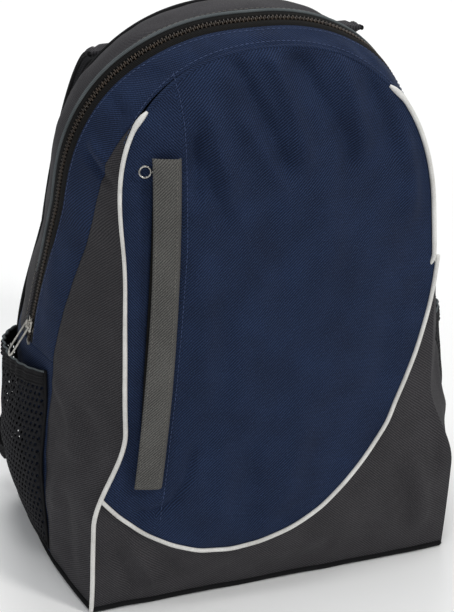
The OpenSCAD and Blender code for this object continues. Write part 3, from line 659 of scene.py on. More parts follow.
def front_cloth(x, z, lift=0.0):
    """The front panel with its folds, its sunken edges and the channel under the pocket's flap."""
    p = front_surface(x, z, lift)
    half = np.maximum(front_half(z), 0.1)
    inset = np.minimum((1 - np.abs(np.clip((x - front_shift(z)) / half, -1, 1))) * half, (FRONT_H - z) * 2)
    p = p + stack(0, 0.25 * np.exp(-inset / 2.2), 0)
    q = p - ZIP_CENTRE
    across, along, out = q @ ZIP_ACROSS, q @ ZIP_UP, q @ ZIP_OUT
    share = ramp(0.8, 1, (x - front_shift(z)) / half)
    p = p + (edge_roll(z) * share)[..., None] * [3.2, 1.2, 0]
    channel = ramp(8.5, 6.5, np.abs(across)) * ramp(ZIP_LEN / 2 + 6, ZIP_LEN / 2 + 1, np.abs(along))
    sunk = np.minimum(out, -2.7 + np.minimum(lift, 0))
    shoulder = (across > 0) * ramp(24, 13, across) * ramp(ZIP_LEN / 2 + 22, ZIP_LEN / 2 + 8, np.abs(along))
    low = np.minimum(out, -1.1 + np.minimum(lift, 0))
    drop = (sunk - out) * channel
    return p + np.minimum(drop, (low - out) * shoulder)[..., None] * ZIP_OUT


def front_z(a):
    return seam(a, 0, 0, 0, 1, FRONT_H, FRONT_ROUND)[1]


def seam_height(s):
    """Height of the curved seam at the share s across the panel."""
    lo, hi = np.zeros_like(s), np.full_like(s, 250)
    for _ in range(40):
        z = (lo + hi) / 2
        above = z > arc_z(front_shift(z) + s * front_half(z))
        lo, hi = np.where(above, lo, z), np.where(above, z, hi)
    return (lo + hi) / 2


def front_piece(name, z, s, materials, nodes, slots_at=None):
    x = front_shift(z) + s[:, None] * front_half(z)
    outer, inner = front_cloth(x, z), front_cloth(x, z, -WALL)
    face_slots = None
    if slots_at is not None:
        centre = lambda g: (g[:-1, :-1] + g[1:, 1:]) / 2
        face_slots = slots_at(centre(x), centre(z)).astype(int).ravel()
    piece = sheet_mesh(name, outer, inner, materials, np.stack([x, 1.013 * z], -1), face_slots)
    place(piece, "fold", nodes)
    straight = float(np.linalg.norm(np.diff(outer[:, 0], axis=0), axis=1).sum())
    declare_sheet(outer, length=straight * np.ptp(x) / np.ptp(x[:, 0]) * MM)
    return piece


STRIP_SEAM = [(426, -74), (413, -71), (393, -67), (377, -65), (354, -65), (288, -67), (228, -73), (174, -79),
              (118, -87), (72, -94)]


def strip_seam_x(z):
    """Where the seam right of the pocket's flap lies at a height."""
    zs, xs = zip(*STRIP_SEAM[::-1])
    return np.interp(z, zs, xs)


S = np.sin(np.linspace(-1, 1, 117) * math.radians(80)) / math.sin(math.radians(80))
SEAM_Z = seam_height(S)
share = np.linspace(0, 1, 150)
front_piece("front_panel_cloth", front_z(mix(SPRING_A * SEAM_Z[:, None] / SPRING_Z, 1, share)), S,
            [navy_main, navy_strip, lining], ["front_panel", "front_panel_foot"],
            lambda x, z: x < strip_seam_x(z))
front_piece("front_corner_cloth", SEAM_Z[:, None] * np.linspace(0, 1, 52), S, [grey_twill, lining],
            ["front_corner_panel", "front_corner_foot"])


# ---- Side band ----

RUN = 600                                         # length of the band for each unit of u
# Folds of the side band: the line's points (run along the band, distance from the front seam), half width,
# height
LEFT, RIGHT = -RUN, RUN
BAND_FOLDS = [
    (((LEFT + 192, 66), (LEFT + 174, 50), (LEFT + 152, 41), (LEFT + 122, 38)), 7, 4.2),
    (((LEFT + 186, 38), (LEFT + 152, 24), (LEFT + 116, 22)), 7, -2.8),
    (((LEFT + 150, 62), (LEFT + 120, 60), (LEFT + 70, 64)), 7, -2.4),
    (((LEFT + 112, 48), (LEFT + 62, 50), (LEFT + 6, 56)), 6, 2.4),
    (((LEFT + 104, 34), (LEFT + 58, 32), (LEFT + 6, 32)), 6.5, -2.4),
    (((LEFT + 96, 18), (LEFT + 50, 16), (LEFT + 8, 14)), 6, 1.8),
    (((LEFT + 250, 40), (LEFT + 215, 34), (LEFT + 190, 20)), 8, 1.8),
    (((RIGHT - 180, 60), (RIGHT - 140, 40), (RIGHT - 100, 36)), 8, 3.4),
    (((RIGHT - 110, 24), (RIGHT - 60, 22), (RIGHT - 6, 24)), 8, -2.2),
    (((LEFT + 372, 2), (LEFT + 382, 16), (LEFT + 398, 34)), 3.2, -3.0),
    (((LEFT + 390, 4), (LEFT + 398, 18), (LEFT + 410, 30)), 4.5, 2.6),
    (((LEFT + 440, 6), (LEFT + 452, 22), (LEFT + 462, 42)), 7, -2.0),
    (((LEFT + 500, 6), (LEFT + 515, 24), (LEFT + 525, 40)), 8, 1.6),
    (((RIGHT - 470, 6), (RIGHT - 490, 22), (RIGHT - 500, 40)), 8, 1.8),
]


def band_normal(u, v):
    du, dv = 0.004, 0.01
    lo_u, hi_u = np.maximum(u - du, -1), np.minimum(u + du, 1)
    lo_v, hi_v = np.maximum(v - dv, 0), np.minimum(v + dv, 1)
    return unit(np.cross(band(hi_u, v) - band(lo_u, v), band(u, hi_v) - band(u, lo_v)))


def band_relief(u, v):
    length = band_length(u)
    p, q = u * RUN, v * length
    h = 1.0 * wave_noise(p, q, 105, 11) + 0.4 * wave_noise(p, q, 40, 12)
    for line, width, height in BAND_FOLDS:
        h = h + crumple(p, q, line, width, height)
    from_zip = np.where(np.abs(u) < 1 - ZIP_END_A, np.abs(q - zip_v(u) * length), 99)
    edge = ramp(0, 10, q) * ramp(0, 12, length - q) * ramp(1, 0.985, np.abs(u)) * ramp(7, 18, from_zip)
    return h * edge - 0.25 * np.exp(-q / 2.2) - 0.8 * np.exp(-(length - q) / 2.5)


def band_cloth(u, v, lift=0.0):
    u, v = np.broadcast_arrays(np.asarray(u, float), np.asarray(v, float))
    p = band(u, v) + band_normal(u, v) * (band_relief(u, v) + lift)[..., None]
    roll = edge_roll(p[..., 2]) * (u > 0) * ramp(12, 0, v * band_length(u))
    return p + roll[..., None] * [3.0, 1.0, 0]


def band_piece(name, us, v_lo, v_hi, cols, materials, where, nodes, sink):
    """A panel of the side band between v_lo(u) and v_hi(u). sink lowers its edges by that much."""
    u = us[:, None]
    share = np.linspace(0, 1, cols)[None]
    v = v_lo(us)[:, None] * (1 - share) + v_hi(us)[:, None] * share
    width = (v_hi(us) - v_lo(us))[:, None] * band_length(us)[:, None]
    edge = np.minimum(share, 1 - share) * width
    lift = -sink * np.exp(-edge / 1.8)
    outer, inner = band_cloth(u, v, lift), band_cloth(u, v, lift - WALL)
    uv = np.stack([v * band_length(us)[:, None], np.broadcast_to(u * RUN, v.shape)], -1)
    cloth(name, outer, inner, materials, where, nodes, uv=uv)


SIDE_TIP_A = 0.74                                 # where the grey side panels run out
zip_front_v = lambda u: zip_v(u) - 6.4 / band_length(u)
zip_rear_v = lambda u: zip_v(u) + 7.4 / band_length(u)

for side, name in ((-1, "left"), (1, "right")):
    us = np.sort(side * np.linspace(1, 1 - SIDE_TIP_A, 130))
    band_piece(name + "_side_cloth", us, lambda u: 0 * u, lambda u: np.maximum(0.01, crescent_v(u)), 22,
               [grey_twill, lining], "fold",
               [name + "_side_panel", name + "_side_panel_lower"], 0.5)
    us = np.sort(side * np.linspace(1, 1 - ZIP_END_A, 66))
    band_piece(name + "_hip_cloth", us, crescent_v, lambda u: 0 * u + 1, 44, [navy_side, lining],
               "fold", [name + "_side_rear"], 0.3)

arch_us = np.linspace(-1 + ZIP_END_A, 1 - ZIP_END_A, 241)
band_piece("front_gusset_cloth", arch_us, crescent_v, zip_front_v, 30, [navy_side, lining], "fold",
           ["front_gusset"], 0.3)
band_piece("rear_gusset_cloth", arch_us, zip_rear_v, lambda u: 0 * u + 1, 30, [grey_twill, lining],
           "bag", ["rear_gusset"], 0.3)


# ---- Main zip ----

STRAIGHT_Z = 275                                  # the zip runs straight up to this height
STRAIGHT_A = SPRING_A * STRAIGHT_Z / SPRING_Z
SMOOTHING = 17                                    # points that the zip's normals are averaged over


def zip_track(us):
    """Middle, tangent and outward normal of the main zip. Both its ends are straight."""
    s = np.sign(us)
    t = (1 - np.abs(us) - ZIP_END_A) / (STRAIGHT_A - ZIP_END_A)
    knots = [s * (1 - ZIP_END_A), s * (1 - STRAIGHT_A)]
    ends = [band(k, zip_corner_v(k)) for k in knots]
    arch = band(us, mix(zip_v(us), zip_corner_v(us), ramp(1.3, 1, t)))
    middle = np.where((t < 1)[:, None], ends[0] + (ends[1] - ends[0]) * np.clip(t, 0, 1)[:, None], arch)
    tangent = unit(np.gradient(middle, axis=0))
    out = band_normal(us, zip_v(us))
    kernel = np.hanning(SMOOTHING)
    padded_out = np.pad(out, ((SMOOTHING // 2, SMOOTHING // 2), (0, 0)), "edge")
    out = np.stack([np.convolve(padded_out[:, k], kernel / kernel.sum(), "valid") for k in range(3)], -1)
    out = unit(out - tangent * np.sum(out * tangent, -1, keepdims=True))
    return middle, tangent, out


ZIP_MIDDLE, ZIP_TANGENT, ZIP_NORMAL = zip_track(np.linspace(-1 + ZIP_END_A, 1 - ZIP_END_A, 421))
ZIP_REAR = np.cross(ZIP_NORMAL, ZIP_TANGENT)


def zip_line(off, lift):
    return ZIP_MIDDLE + off * ZIP_REAR + lift * ZIP_NORMAL


def zip_tape(name, offsets, lifts, where, material, nodes=(), thick=0.7):
    outer = np.stack([zip_line(o, k) for o, k in zip(offsets, lifts)], 1)
    inner = np.stack([zip_line(o, k - thick) for o, k in zip(offsets, lifts)], 1)
    cloth(name, outer, inner, [material], where, nodes)


zip_tape("zip_tape_front_weave", (-8.5, -6.6, -4.5, -1.9), (-1.4, -0.3, 0.15, 0.1), "fold", tape_black,
         ["zip_tape_front"])
zip_tape("zip_tape_rear_weave", (1.9, 4.5, 6.8, 9.5), (0.1, 0.15, -0.2, -1.5), "bag", tape_black,
         ["zip_tape_rear"])
zip_tape("zip_binding", (6.7, 7.5, 8.8, 9.4), (0.2, 0.75, 0.75, 0.2), "bag", binding_grey, thick=0.6)


TOOTH_PITCH = 1.5
TOOTH_R = np.array([0.35, 0.62, 0.62, 0.35])      # a tooth's radius along its length


def zip_teeth(name, first, reach, where, nodes):
    track = resample(np.concatenate([ZIP_MIDDLE, ZIP_TANGENT, ZIP_NORMAL], 1), TOOTH_PITCH)[first::2]
    parts = []
    for row in track:
        at, along, out = row[:3], unit(row[3:6]), unit(row[6:])
        rear = np.cross(out, along)
        run = np.array([reach[0], reach[0] * 0.9 + reach[1] * 0.1, reach[0] * 0.1 + reach[1] * 0.9, reach[1]])
        line = at + run[:, None] * rear + np.array([-0.1, 0.35, 0.35, -0.1])[:, None] * out
        parts.append(tube_part(line, TOOTH_R, along, sides=6, flat=0.9))
    joined(name, parts, coil_brown, where, nodes)


zip_teeth("zip_teeth_front", 0, (-2.3, 0.9), "fold", ["zip_coil_front"])
zip_teeth("zip_teeth_rear", 1, (-0.9, 2.3), "bag", ["zip_coil_rear"])


# ---- White piping ----

PIPE_R, PIPE_OFF, PIPE_TIP_A = 1.75, 1.5, 0.735
for side, name in ((-1, "left"), (1, "right")):
    a = np.concatenate([np.linspace(0, PIPE_TIP_A, 130), PIPE_TIP_A + 0.009 * np.arange(1, 4)])
    path = front_edge(side * (1 - a), -PIPE_OFF)
    path[:, 1] += 1.1
    if side > 0:
        path += edge_roll(path[:, 2] + 12)[:, None] * [-4.2, 5.2, 0]
    path = path + stack(0.25 * wave_noise(path[:, 2], 0 * path[:, 2], 70, 21 + side), 0, 0)
    radius = np.full(len(a), PIPE_R)
    radius[-5:] = (1.8, 2.05, 2.3, 2.1, 1.1)
    path[-3:] += np.outer([0.6, 1.8, 3.4], [-side, 0.25, 0.2])
    cord(name + "_piping_cord", path, radius, white_cord, "fold", "white_piping",
         [name + "_piping", name + "_piping_lower"], sides=14)

path = front_edge(np.linspace(-1 + PIPE_TIP_A - 0.02, 1 - PIPE_TIP_A + 0.02, 200), 0.7) + [0, 0.2, 0]
cord("crown_seam_roll", path, 1.5, navy_side, "front_cover", "navy_twill", sides=12)

arc_x = np.concatenate([ARC_LOW[0] - 95.6 * np.sin(np.linspace(math.pi / 2, 0, 50)),
                        ARC_LOW[0] + 166.8 * np.sin(np.linspace(0, math.pi / 2, 90)[1:])])
arc = resample(front_cloth(arc_x, arc_z(arc_x), 0.9), 2.4)
cord("arc_piping_cord", arc, PIPE_R - 0.15, white_cord, "fold", "white_piping",
     ["arc_piping", "arc_piping_lower"], sides=14)


# ---- Front pocket: zip, lining and storm flap ----

FLAP_T = 1.3                                      # thickness of the storm flap
FLAP_DOWN, FLAP_TOP = 20, 4                       # how far it runs past the zip's ends


def flap_bow(y):
    """The flap leans a little more towards its lower end."""
    return 3.4 * (1 - (2 * y / ZIP_LEN) ** 2)


def pocket_strip(name, offsets, lifts, nodes=(), thick=0.5):
    y = np.linspace(-ZIP_LEN / 2, ZIP_LEN / 2, 60)[None]
    outer = in_zip_frame(np.array(offsets)[:, None], y, np.array(lifts)[:, None])
    inner = in_zip_frame(np.array(offsets)[:, None], y, np.array(lifts)[:, None] - thick)
    cloth(name, outer, inner, [tape_black], "front_cover", nodes)


pocket_strip("pocket_zip_tape_left", (-7.6, -6, -1.8), (-0.3, 0.25, 0.2))
pocket_strip("pocket_zip_tape_right", (1.8, 6, 7.6), (0.2, 0.25, -0.3), ["pocket_zip_tape"])
parts = []
for k in range(int(ZIP_LEN / TOOTH_PITCH)):
    s = 1 if k % 2 else -1
    y = -ZIP_LEN / 2 + TOOTH_PITCH * k
    line = in_zip_frame(np.array([-0.8, -0.6, 2, 2.2]) * s, y, np.array([0, 0.4, 0.4, 0]))
    parts.append(tube_part(line, TOOTH_R, ZIP_UP, sides=6, flat=0.9))
joined("pocket_zip_teeth", parts, coil_brown, "front_cover", ["pocket_zip_coil"])

h, s = np.meshgrid(np.linspace(-1, 1, 40), np.linspace(-1, 1, 40))
z = mix(POCKET_LO_Z - 8, POCKET_HI_Z + 12, (h + 1) / 2)
belly = (1 - s ** 4) * (1 - h ** 4)
depth = 22 * belly + 8 + 0.8 * wave_noise(z, s * 100, 60, 31) * belly
back = front_plain(front_shift(z) + s * 0.92 * front_half(z), z) + stack(0, depth, 0)
cloth("pocket_lining_cloth", back, back + [0, 1.0, 0], [lining], "front_cover",
      ["pocket_lining"])

y = np.linspace(-ZIP_LEN / 2 - FLAP_DOWN, ZIP_LEN / 2 + FLAP_TOP, 110)[None]
x = np.array([-9.5, -9.2, -8.3, -6, -2, 2, 6, 8.4, 9.3, 9.9, 10.4, 10.9])[:, None]
lift = np.array([5.3, 6.1, 6.35, 6.5, 6.75, 6.75, 6.5, 6.2, 5.7, 4.7, 3.6, 2.8])[:, None]
ripple = 0.35 * wave_noise(y, 0 * y, 55, 41)
for at in (-63, -88):
    ripple = ripple - 0.5 * np.exp(-((y - at) / 1.2) ** 2)
ends = ramp(0, 5, y - y.min()) * ramp(0, 5, y.max() - y)
lift = lift * mix(0.8, 1, ends) + ripple * np.clip((9 - np.abs(x)) / 6, 0, 1)
outer = in_zip_frame(x + flap_bow(y), y, lift)
inner = in_zip_frame(x + flap_bow(y) - 0.5 * np.clip((x - 8) / 2, 0, 1), y, lift - FLAP_T)
cloth("storm_flap_cloth", outer, inner, [flap_twill], "storm_flap",
      ["storm_flap"])
parts = []
edge_y = np.linspace(y.min() + 2.5, y.max() - 2, 90)
for off in (-7.6, 7.4):
    line = in_zip_frame(off + flap_bow(edge_y), edge_y, 6.45)
    parts += stitch_parts(line, ZIP_OUT, 2.4, 1.4, 0.22)
cross_x = np.linspace(-7.5, 8, 8)
at = y.min() + 2.2
parts += stitch_parts(in_zip_frame(cross_x + flap_bow(at), at + 0 * cross_x, 5.6), ZIP_OUT, 2.4, 1.4, 0.22)
joined("storm_flap_stitches", parts, grey_thread, "storm_flap")


# ---- Stitched lines on the front cover ----

def front_stitches(name, points, thread):
    xs, zs = np.array(resample(points, 4)).T
    line = front_cloth(xs, zs, 0.12)
    joined(name, stitch_parts(line, front_normal(xs, zs), 2.6, 1.2, 0.24), thread, "fold")


front_stitches("strip_topstitch", [(strip_seam_x(k) + 2.4, k) for k in np.linspace(408, 76, 60)], navy_thread)
us = np.linspace(-0.30, 0.33, 120)
v = 3.4 / band_length(us)
line = band_cloth(us, v, 0.15)
joined("crown_topstitch", stitch_parts(line, band_normal(us, v), 2.6, 1.2, 0.24), navy_thread, "front_cover")
for off, where, name, thread, slot in ((-9.6, "fold", "front", navy_thread, "navy_twill"),
                                       (11.4, "bag", "rear", grey_thread, "charcoal_twill")):
    us = np.linspace(-1 + ZIP_END_A + 0.01, 1 - ZIP_END_A - 0.01, 320)
    v = zip_v(us) + off / band_length(us)
    line = band_cloth(us, v, 0.15)
    parts = stitch_parts(line, band_normal(us, v), 2.6, 1.4, 0.22)
    joined("zip_topstitch_" + name, parts, thread, where)


# ---- Back panel, base edge and pads ----

def back_grid(a, s, out=0.0):
    left, right = back_edge(a - 1), back_edge(1 - a)
    return mix(left, right, ((s + 1) / 2)[..., None]) + stack(0 * s, out, 0)


up_back = np.concatenate([np.linspace(0, 0.9, 90), np.linspace(0.91, 1, 24)])
s, a = np.meshgrid(np.linspace(-1, 1, 70), up_back)
edge = ramp(1, 0.9, np.abs(s)) * ramp(0, 0.05, a) * ramp(1, 0.94, a)
soft = 0.9 * wave_noise(s * 120, a * 430, 90, 51) * edge
outer = back_grid(a, s, np.minimum(soft, 0.5) - 0.6 * (1 - edge))
cloth("back_panel_cloth", outer, outer - [0, 2.2, 0], [lining], "bag", ["back_panel"])
path = back_edge(np.linspace(-1, 1, 240), -0.6)
cord("back_seam_binding", path, 2.1, binding_black, "bag", sides=12, flat=0.8)

v = np.linspace(0, 1, 40)
front_x = np.linspace(FRONT_BASE_W / 2, -FRONT_BASE_W / 2, 60)
loop = np.concatenate([band(-1 + 0 * v, v, -0.3), back_grid(0 * v, np.linspace(-1, 1, 40), 0.3),
                       band(1 + 0 * v, v, -0.3)[::-1], front_cloth(front_x, 0 * front_x, 0.3)])
loop[:, 2] = 2.1 + 0.4 * wave_noise(loop[:, 0], loop[:, 1], 60, 52)
cord("base_binding", resample(loop, 4), 2.0, binding_black, "bag", side=(0, 0, 1), sides=12)


def back_pad(name, a_lo, a_hi, s_lo, s_hi, channels, nodes):
    """A pillow of spacer mesh sewn to the back, with stitched channels across it."""
    q, t = np.meshgrid(np.linspace(-1, 1, 46), np.linspace(-1, 1, 100))
    a, s = mix(a_lo, a_hi, (t + 1) / 2), mix(s_lo, s_hi, (q + 1) / 2)
    # rounded corners: the grid is drawn in to a superellipse
    ring = np.abs(q) ** 9 + np.abs(t) ** 9 + 1e-9
    drawn_in = np.minimum(1, ring ** (-1 / 9) * np.maximum(np.abs(q), np.abs(t)))
    a = (a_lo + a_hi) / 2 + (a - (a_lo + a_hi) / 2) * drawn_in
    s = (s_lo + s_hi) / 2 + (s - (s_lo + s_hi) / 2) * drawn_in
    crown = ((1 - np.abs(q) ** 5) * (1 - np.abs(t) ** 9)) ** 0.55
    for at in channels:
        crown = crown * (1 - 0.62 * np.exp(-((t - at) / 0.035) ** 2))
    puff = 0.5 + 8.2 * crown + 0.4 * wave_noise(q * 40, t * 90, 30, 53) * crown
    outer = back_grid(a, s, puff)
    piece = sheet_mesh(name, outer, back_grid(a, s, 0.35), [air_black])
    place(piece, "bag", nodes)
    rim = np.concatenate([outer[0], outer[1:, -1], outer[-1, -2::-1], outer[-2:0:-1, 0]])
    cord(name + "_binding", resample(np.concatenate([rim, rim[:1]]), 4), 1.6, binding_black, "bag", flat=0.7)


back_pad("back_pad_left", 0.2, 0.64, -0.78, -0.16, (-0.5, 0, 0.5), ["back_pads"])
back_pad("back_pad_right", 0.2, 0.64, 0.16, 0.78, (-0.5, 0, 0.5), [])
back_pad("back_pad_lumbar", 0.03, 0.17, -0.78, 0.78, (), [])


# ---- Side pockets ----

V0 = float(crescent_v(0.9)) + 0.008
SIDE_POCKET_V, RIM_SHARE = 0.985, 0.93


def pocket_point(side, q, h, lift=0.0):
    """A point on the side pocket: q from its front edge to its back edge, h from base to rim."""
    q, h = np.broadcast_arrays(np.asarray(q, float), np.asarray(h, float))
    v = mix(V0, SIDE_POCKET_V, q)
    top = SPRING_A / SPRING_Z * mix(168, 154, (v - V0) / (1 - V0))
    w = np.maximum(np.sin(np.pi * np.clip(q, 0, 1) ** 0.9), 0)
    bulge = 0.4 + w ** 0.8 * mix(15 * np.sin(np.pi / 2 * np.minimum(1, 2.2 * h)) ** 0.7, 10, ramp(0.5, 1, h))
    gather = 0.9 * np.sin(q * 60) * w * ramp(0.55, 1, h)
    gather = gather + 0.8 * wave_noise(q * 90, h * 140, 42, 61) * w * ramp(0, 0.2, h)
    out = bulge + gather + lift
    a = mix(0.015, top, h)
    u = side * (1 - a)
    base = band(u, v)
    flat = band(u, v, -1.0) - base
    return base + flat * out[..., None]


def mesh_knit(name, side, node):
    """Open knit with slanted holes, as a lattice of cells laid on the pocket's surface."""
    wide, tall, across, up = 92.0, 138.0, 28, 27
    cell_w, cell_h = wide / across, tall / up
    turn = math.radians(27)
    corners = [(-1, -1), (0, -1), (1, -1), (1, 0), (1, 1), (0, 1), (-1, 1), (-1, 0)]
    verts, faces = [], []
    for j in range(up):
        odd = j % 2
        edges = [0.0] + [(i + 0.5 * odd + (1 - odd)) * cell_w for i in range(across - odd)] + [wide]
        edges = sorted(set(min(wide, max(0.0, e)) for e in edges))
        for lo, hi in zip(edges[:-1], edges[1:]):
            cx, cy, hw = (lo + hi) / 2, (j + 0.5) * cell_h, (hi - lo) / 2
            start = len(verts)
            verts += [(cx + hw * x, cy + cell_h / 2 * y) for x, y in corners]
            if hw < 0.4 * cell_w:
                faces.append([start + k for k in range(8)])
                continue
            for x, y in corners:
                ang = math.atan2(y, x)
                ex, ey = 0.85 * math.cos(ang), 1.75 * math.sin(ang)
                verts.append((cx + ex * math.cos(turn) - ey * math.sin(turn) * 0.75,
                              cy + ex * math.sin(turn) + ey * math.cos(turn)))
            for k in range(8):
                n = (k + 1) % 8
                faces.append([start + k, start + n, start + 8 + n, start + 8 + k])
    flat = np.array(verts)
    q = flat[:, 0] / wide
    h = flat[:, 1] / tall * (RIM_SHARE - 0.005)
    points = pocket_point(side, q, h, 1.2)
    if side > 0:
        faces = [f[::-1] for f in faces]
    piece = add_mesh(name, points, faces, [knit_black], flat)
    edit = bmesh.new()
    edit.from_mesh(piece.data)
    bmesh.ops.remove_doubles(edit, verts=edit.verts, dist=0.05 * MM)
    bmesh.ops.recalc_face_normals(edit, faces=edit.faces)
    edit.to_mesh(piece.data)
    edit.free()
    thicken = piece.modifiers.new("thread", "SOLIDIFY")
    thicken.thickness = 0.7 * MM
    thicken.offset = 0
    place(piece, "bag", [node])


for side, name in ((-1, "left"), (1, "right")):
    mesh_knit(name + "_pocket_knit", side, name + "_mesh_pocket")
    rows, cols = np.linspace(1, RIM_SHARE - 0.01, 15)[:, None], np.linspace(0, 1, 90)[None]
    rib = 1.5 + 0.35 * np.sin(np.linspace(0, 3.5 * 2 * np.pi, 15))[:, None]
    outer, inner = pocket_point(side, cols, rows, 1.0 + rib), pocket_point(side, cols, rows, 0.4)
    if side < 0:
        outer, inner = outer[::-1], inner[::-1]
    cloth(name + "_pocket_rim", outer, inner, [webbing_black], "bag", [name + "_pocket_elastic"])
    q = np.linspace(0, 1, 80)
    for label, h, r, lift, material in (("_pocket_binding", 1.0, 1.0, 1.6, binding_grey),
                                        ("_pocket_hem", 0.03, 1.8, 1.2, binding_black)):
        path = pocket_point(side, q, 0 * q + h, lift)
        cord(name + label, path, r, material, "bag", side=(0, 0, 1), flat=0.8)
    h = np.linspace(0.0, 1, 60)
    for label, at in (("_pocket_front_seam", 0.0), ("_pocket_back_seam", 1.0)):
        path = pocket_point(side, 0 * h + at, h, 0.6)
        cord(name + label, path, 1.7, binding_black, "bag", sides=8, flat=0.7)


# ---- Shoulder straps and their hardware: the right side, mirrored for the left ----

STRAP_PATH = [(73, 82, 390), (72, 125, 385), (95, 174, 250), (122, 134, 140)]
STRAP_W, STRAP_END_W, STRAP_T = 64, 34, 12
WEB_W, WEB_T = 25, 1.6
STRAP_DOWN = unit(np.subtract(STRAP_PATH[3], STRAP_PATH[2]))
STRAP_ACROSS = unit(np.array([1.0, 0, 0]) - STRAP_DOWN * STRAP_DOWN[0])
STRAP_OUT = np.cross(STRAP_ACROSS, STRAP_DOWN)
LOCK = np.array(STRAP_PATH[3]) + 5 * STRAP_DOWN


def lock_point(y, z, x=0.0):
    return LOCK - y * STRAP_DOWN + z * STRAP_OUT - x * STRAP_ACROSS


def mirrored(points, side):
    return points * np.array([side, 1, 1])


def shoulder_strap(side, name):
    """A foam strap: twill outside, spacer mesh inside, bound along both edges."""
    n = 120
    path = bezier(STRAP_PATH, n)
    _, across, out = frames_along(path, (1, 0, 0))
    t = np.linspace(0, 1, n)
    width = mix(STRAP_W, STRAP_END_W, t * t) / 2
    c = np.linspace(-1, 1, 33)
    round_end = np.sqrt(np.clip(1 - (np.clip(t - 0.95, 0, 1) / 0.053) ** 2, 0.02, 1))
    profile = (1 - np.abs(c) ** 6) ** 0.5
    seam_line = 1 - 0.45 * np.exp(-((np.abs(c) - 0.8) / 0.05) ** 2)
    thick = (0.8 + (STRAP_T / 2 - 0.9) * profile * seam_line) * np.ones((n, 1))
    thick = thick * mix(0.45, 1, ramp(0, 0.07, t))[:, None] * mix(0.5, 1, ramp(1, 0.94, t))[:, None]
    soft = 0.35 * wave_noise(np.linspace(0, 300, n)[:, None], c[None] * 30, 50, 71)
    middle = path[:, None] + across[:, None] * (width * round_end)[:, None, None] * c[None, :, None]
    outer = middle + out[:, None] * (thick + soft * profile)[..., None]
    inner = middle - out[:, None] * thick[..., None]
    if side > 0:
        outer, inner = outer[:, ::-1], inner[:, ::-1]
    piece = sheet_mesh(name + "_strap_pad", mirrored(outer, side), mirrored(inner, side),
                       [grey_twill, air_black])
    place(piece, "bag", [name + "_shoulder_strap"])
    left = path - across * (width * round_end)[:, None]
    right = path + across * (width * round_end)[:, None]
    rim = mirrored(resample(np.concatenate([left, right[::-1]]), 4), side)
    cord(name + "_strap_binding", rim, 1.9, binding_black, "bag", side=(0, 1, 0.2), flat=0.8)
    parts = []
    for at in (-0.86, 0.86):
        line = path + across * (width * round_end * at)[:, None] + out * (STRAP_T * 0.36)
        parts += stitch_parts(mirrored(line[4:-6], side), mirrored(out[4:-6], side), 2.8, 1.6, 0.3)
    joined(name + "_strap_stitches", parts, grey_thread, "bag")


def webbing(name, path, across, width, body, nodes, thick=WEB_T):
    piece = ribbon(name, path, across, width, thick, [webbing_black], 9, 0.25)
    place(piece, body, nodes)


TAB_DIR = unit(np.array([0.9, 0.2, 0]))
TAB = np.array([BACK_BASE_W / 2, FRONT_BASE_Y + BASE_DEPTH + 2, 0])
TAB_Z, TAB_IN, TAB_OUT = 32, 4, 14


def anchor_tab(side, name):
    """A folded triangle of twill that holds the lower webbing's end."""
    q, t = np.meshgrid(np.linspace(-1, 1, 17), np.linspace(0, 1, 17))
    half = mix(18, 9.5, t)
    puff = 1.9 * (1 - 0.55 * np.abs(q) ** 4) * mix(0.75, 1, t)
    normal = np.cross(TAB_DIR, [0, 0, 1])
    base = TAB + TAB_DIR * mix(TAB_IN - 3.5, TAB_OUT, t)[..., None] + stack(0, 0, TAB_Z + q * half)
    front, rear = base + normal * puff[..., None], base - normal * puff[..., None]
    if side < 0:
        front, rear = front[:, ::-1], rear[:, ::-1]
    piece = sheet_mesh(name + "_anchor_cloth", mirrored(rear, side), mirrored(front, side), [grey_twill])
    place(piece, "bag", [name + "_anchor_tab"])
    declare_sheet(base)


def hardware(side, name):
    start = TAB + TAB_DIR * (TAB_OUT - 3) + np.array([0, 0, TAB_Z])
    path = mirrored(bezier([start, (190, 112, 50), lock_point(-50, -1.2), lock_point(-25.5, -1.2)], 60), side)
    turn = ramp(0, 1, np.linspace(0, 1, 60))[:, None]
    across = mirrored(mix(np.array([0, -0.3, 1.0]), STRAP_ACROSS, turn), side)
    width = mix(WEB_W - 6, WEB_W, ramp(0, 0.3, np.linspace(0, 1, 60)))
    webbing(name + "_lower_strap", path, across, width, "bag", [name + "_lower_webbing"])
    ring = np.radians(np.linspace(-200, 20, 30))
    loop = np.stack([lock_point(2.7 * math.cos(k + math.pi), 2.7 * math.sin(k + math.pi)) for k in ring])
    tail = np.stack([lock_point(3.5 + k, 0.2) for k in (0.0, 3.0, 6.0)])
    webbing(name + "_lock_strap", mirrored(np.concatenate([loop, tail]), side), mirrored(STRAP_ACROSS, side),
            WEB_W - 1, "bag", [name + "_lock_loop"], 1.2)
    top = lock_point(-22.4, 3.4)
    z = np.concatenate([[1.4, 0.4], np.linspace(-2, -84, 30), [-88.6, -89.6]])
    hang = mirrored(top + stack(0, np.where(z > 0, -0.4, 0), z), side)
    sideways = mirrored(np.array([1.0, 0, 0]), side)
    webbing(name + "_tail_strap", hang, sideways, WEB_W, name + "_webbing_tail", [name + "_webbing_tail"])
    hem = mirrored(top + np.array([[0, 0.9, -79.0], [0, 1.3, -82], [0, 1.3, -87], [0, 0.9, -89.3]]), side)
    piece = ribbon(name + "_tail_hem", hem, sideways, WEB_W - 0.6, 1.5, [webbing_black])
    place(piece, name + "_webbing_tail")


for side, name in ((-1, "left"), (1, "right")):
    shoulder_strap(side, name)
    anchor_tab(side, name)
    hardware(side, name)


# ---- Yoke and grab handle ----

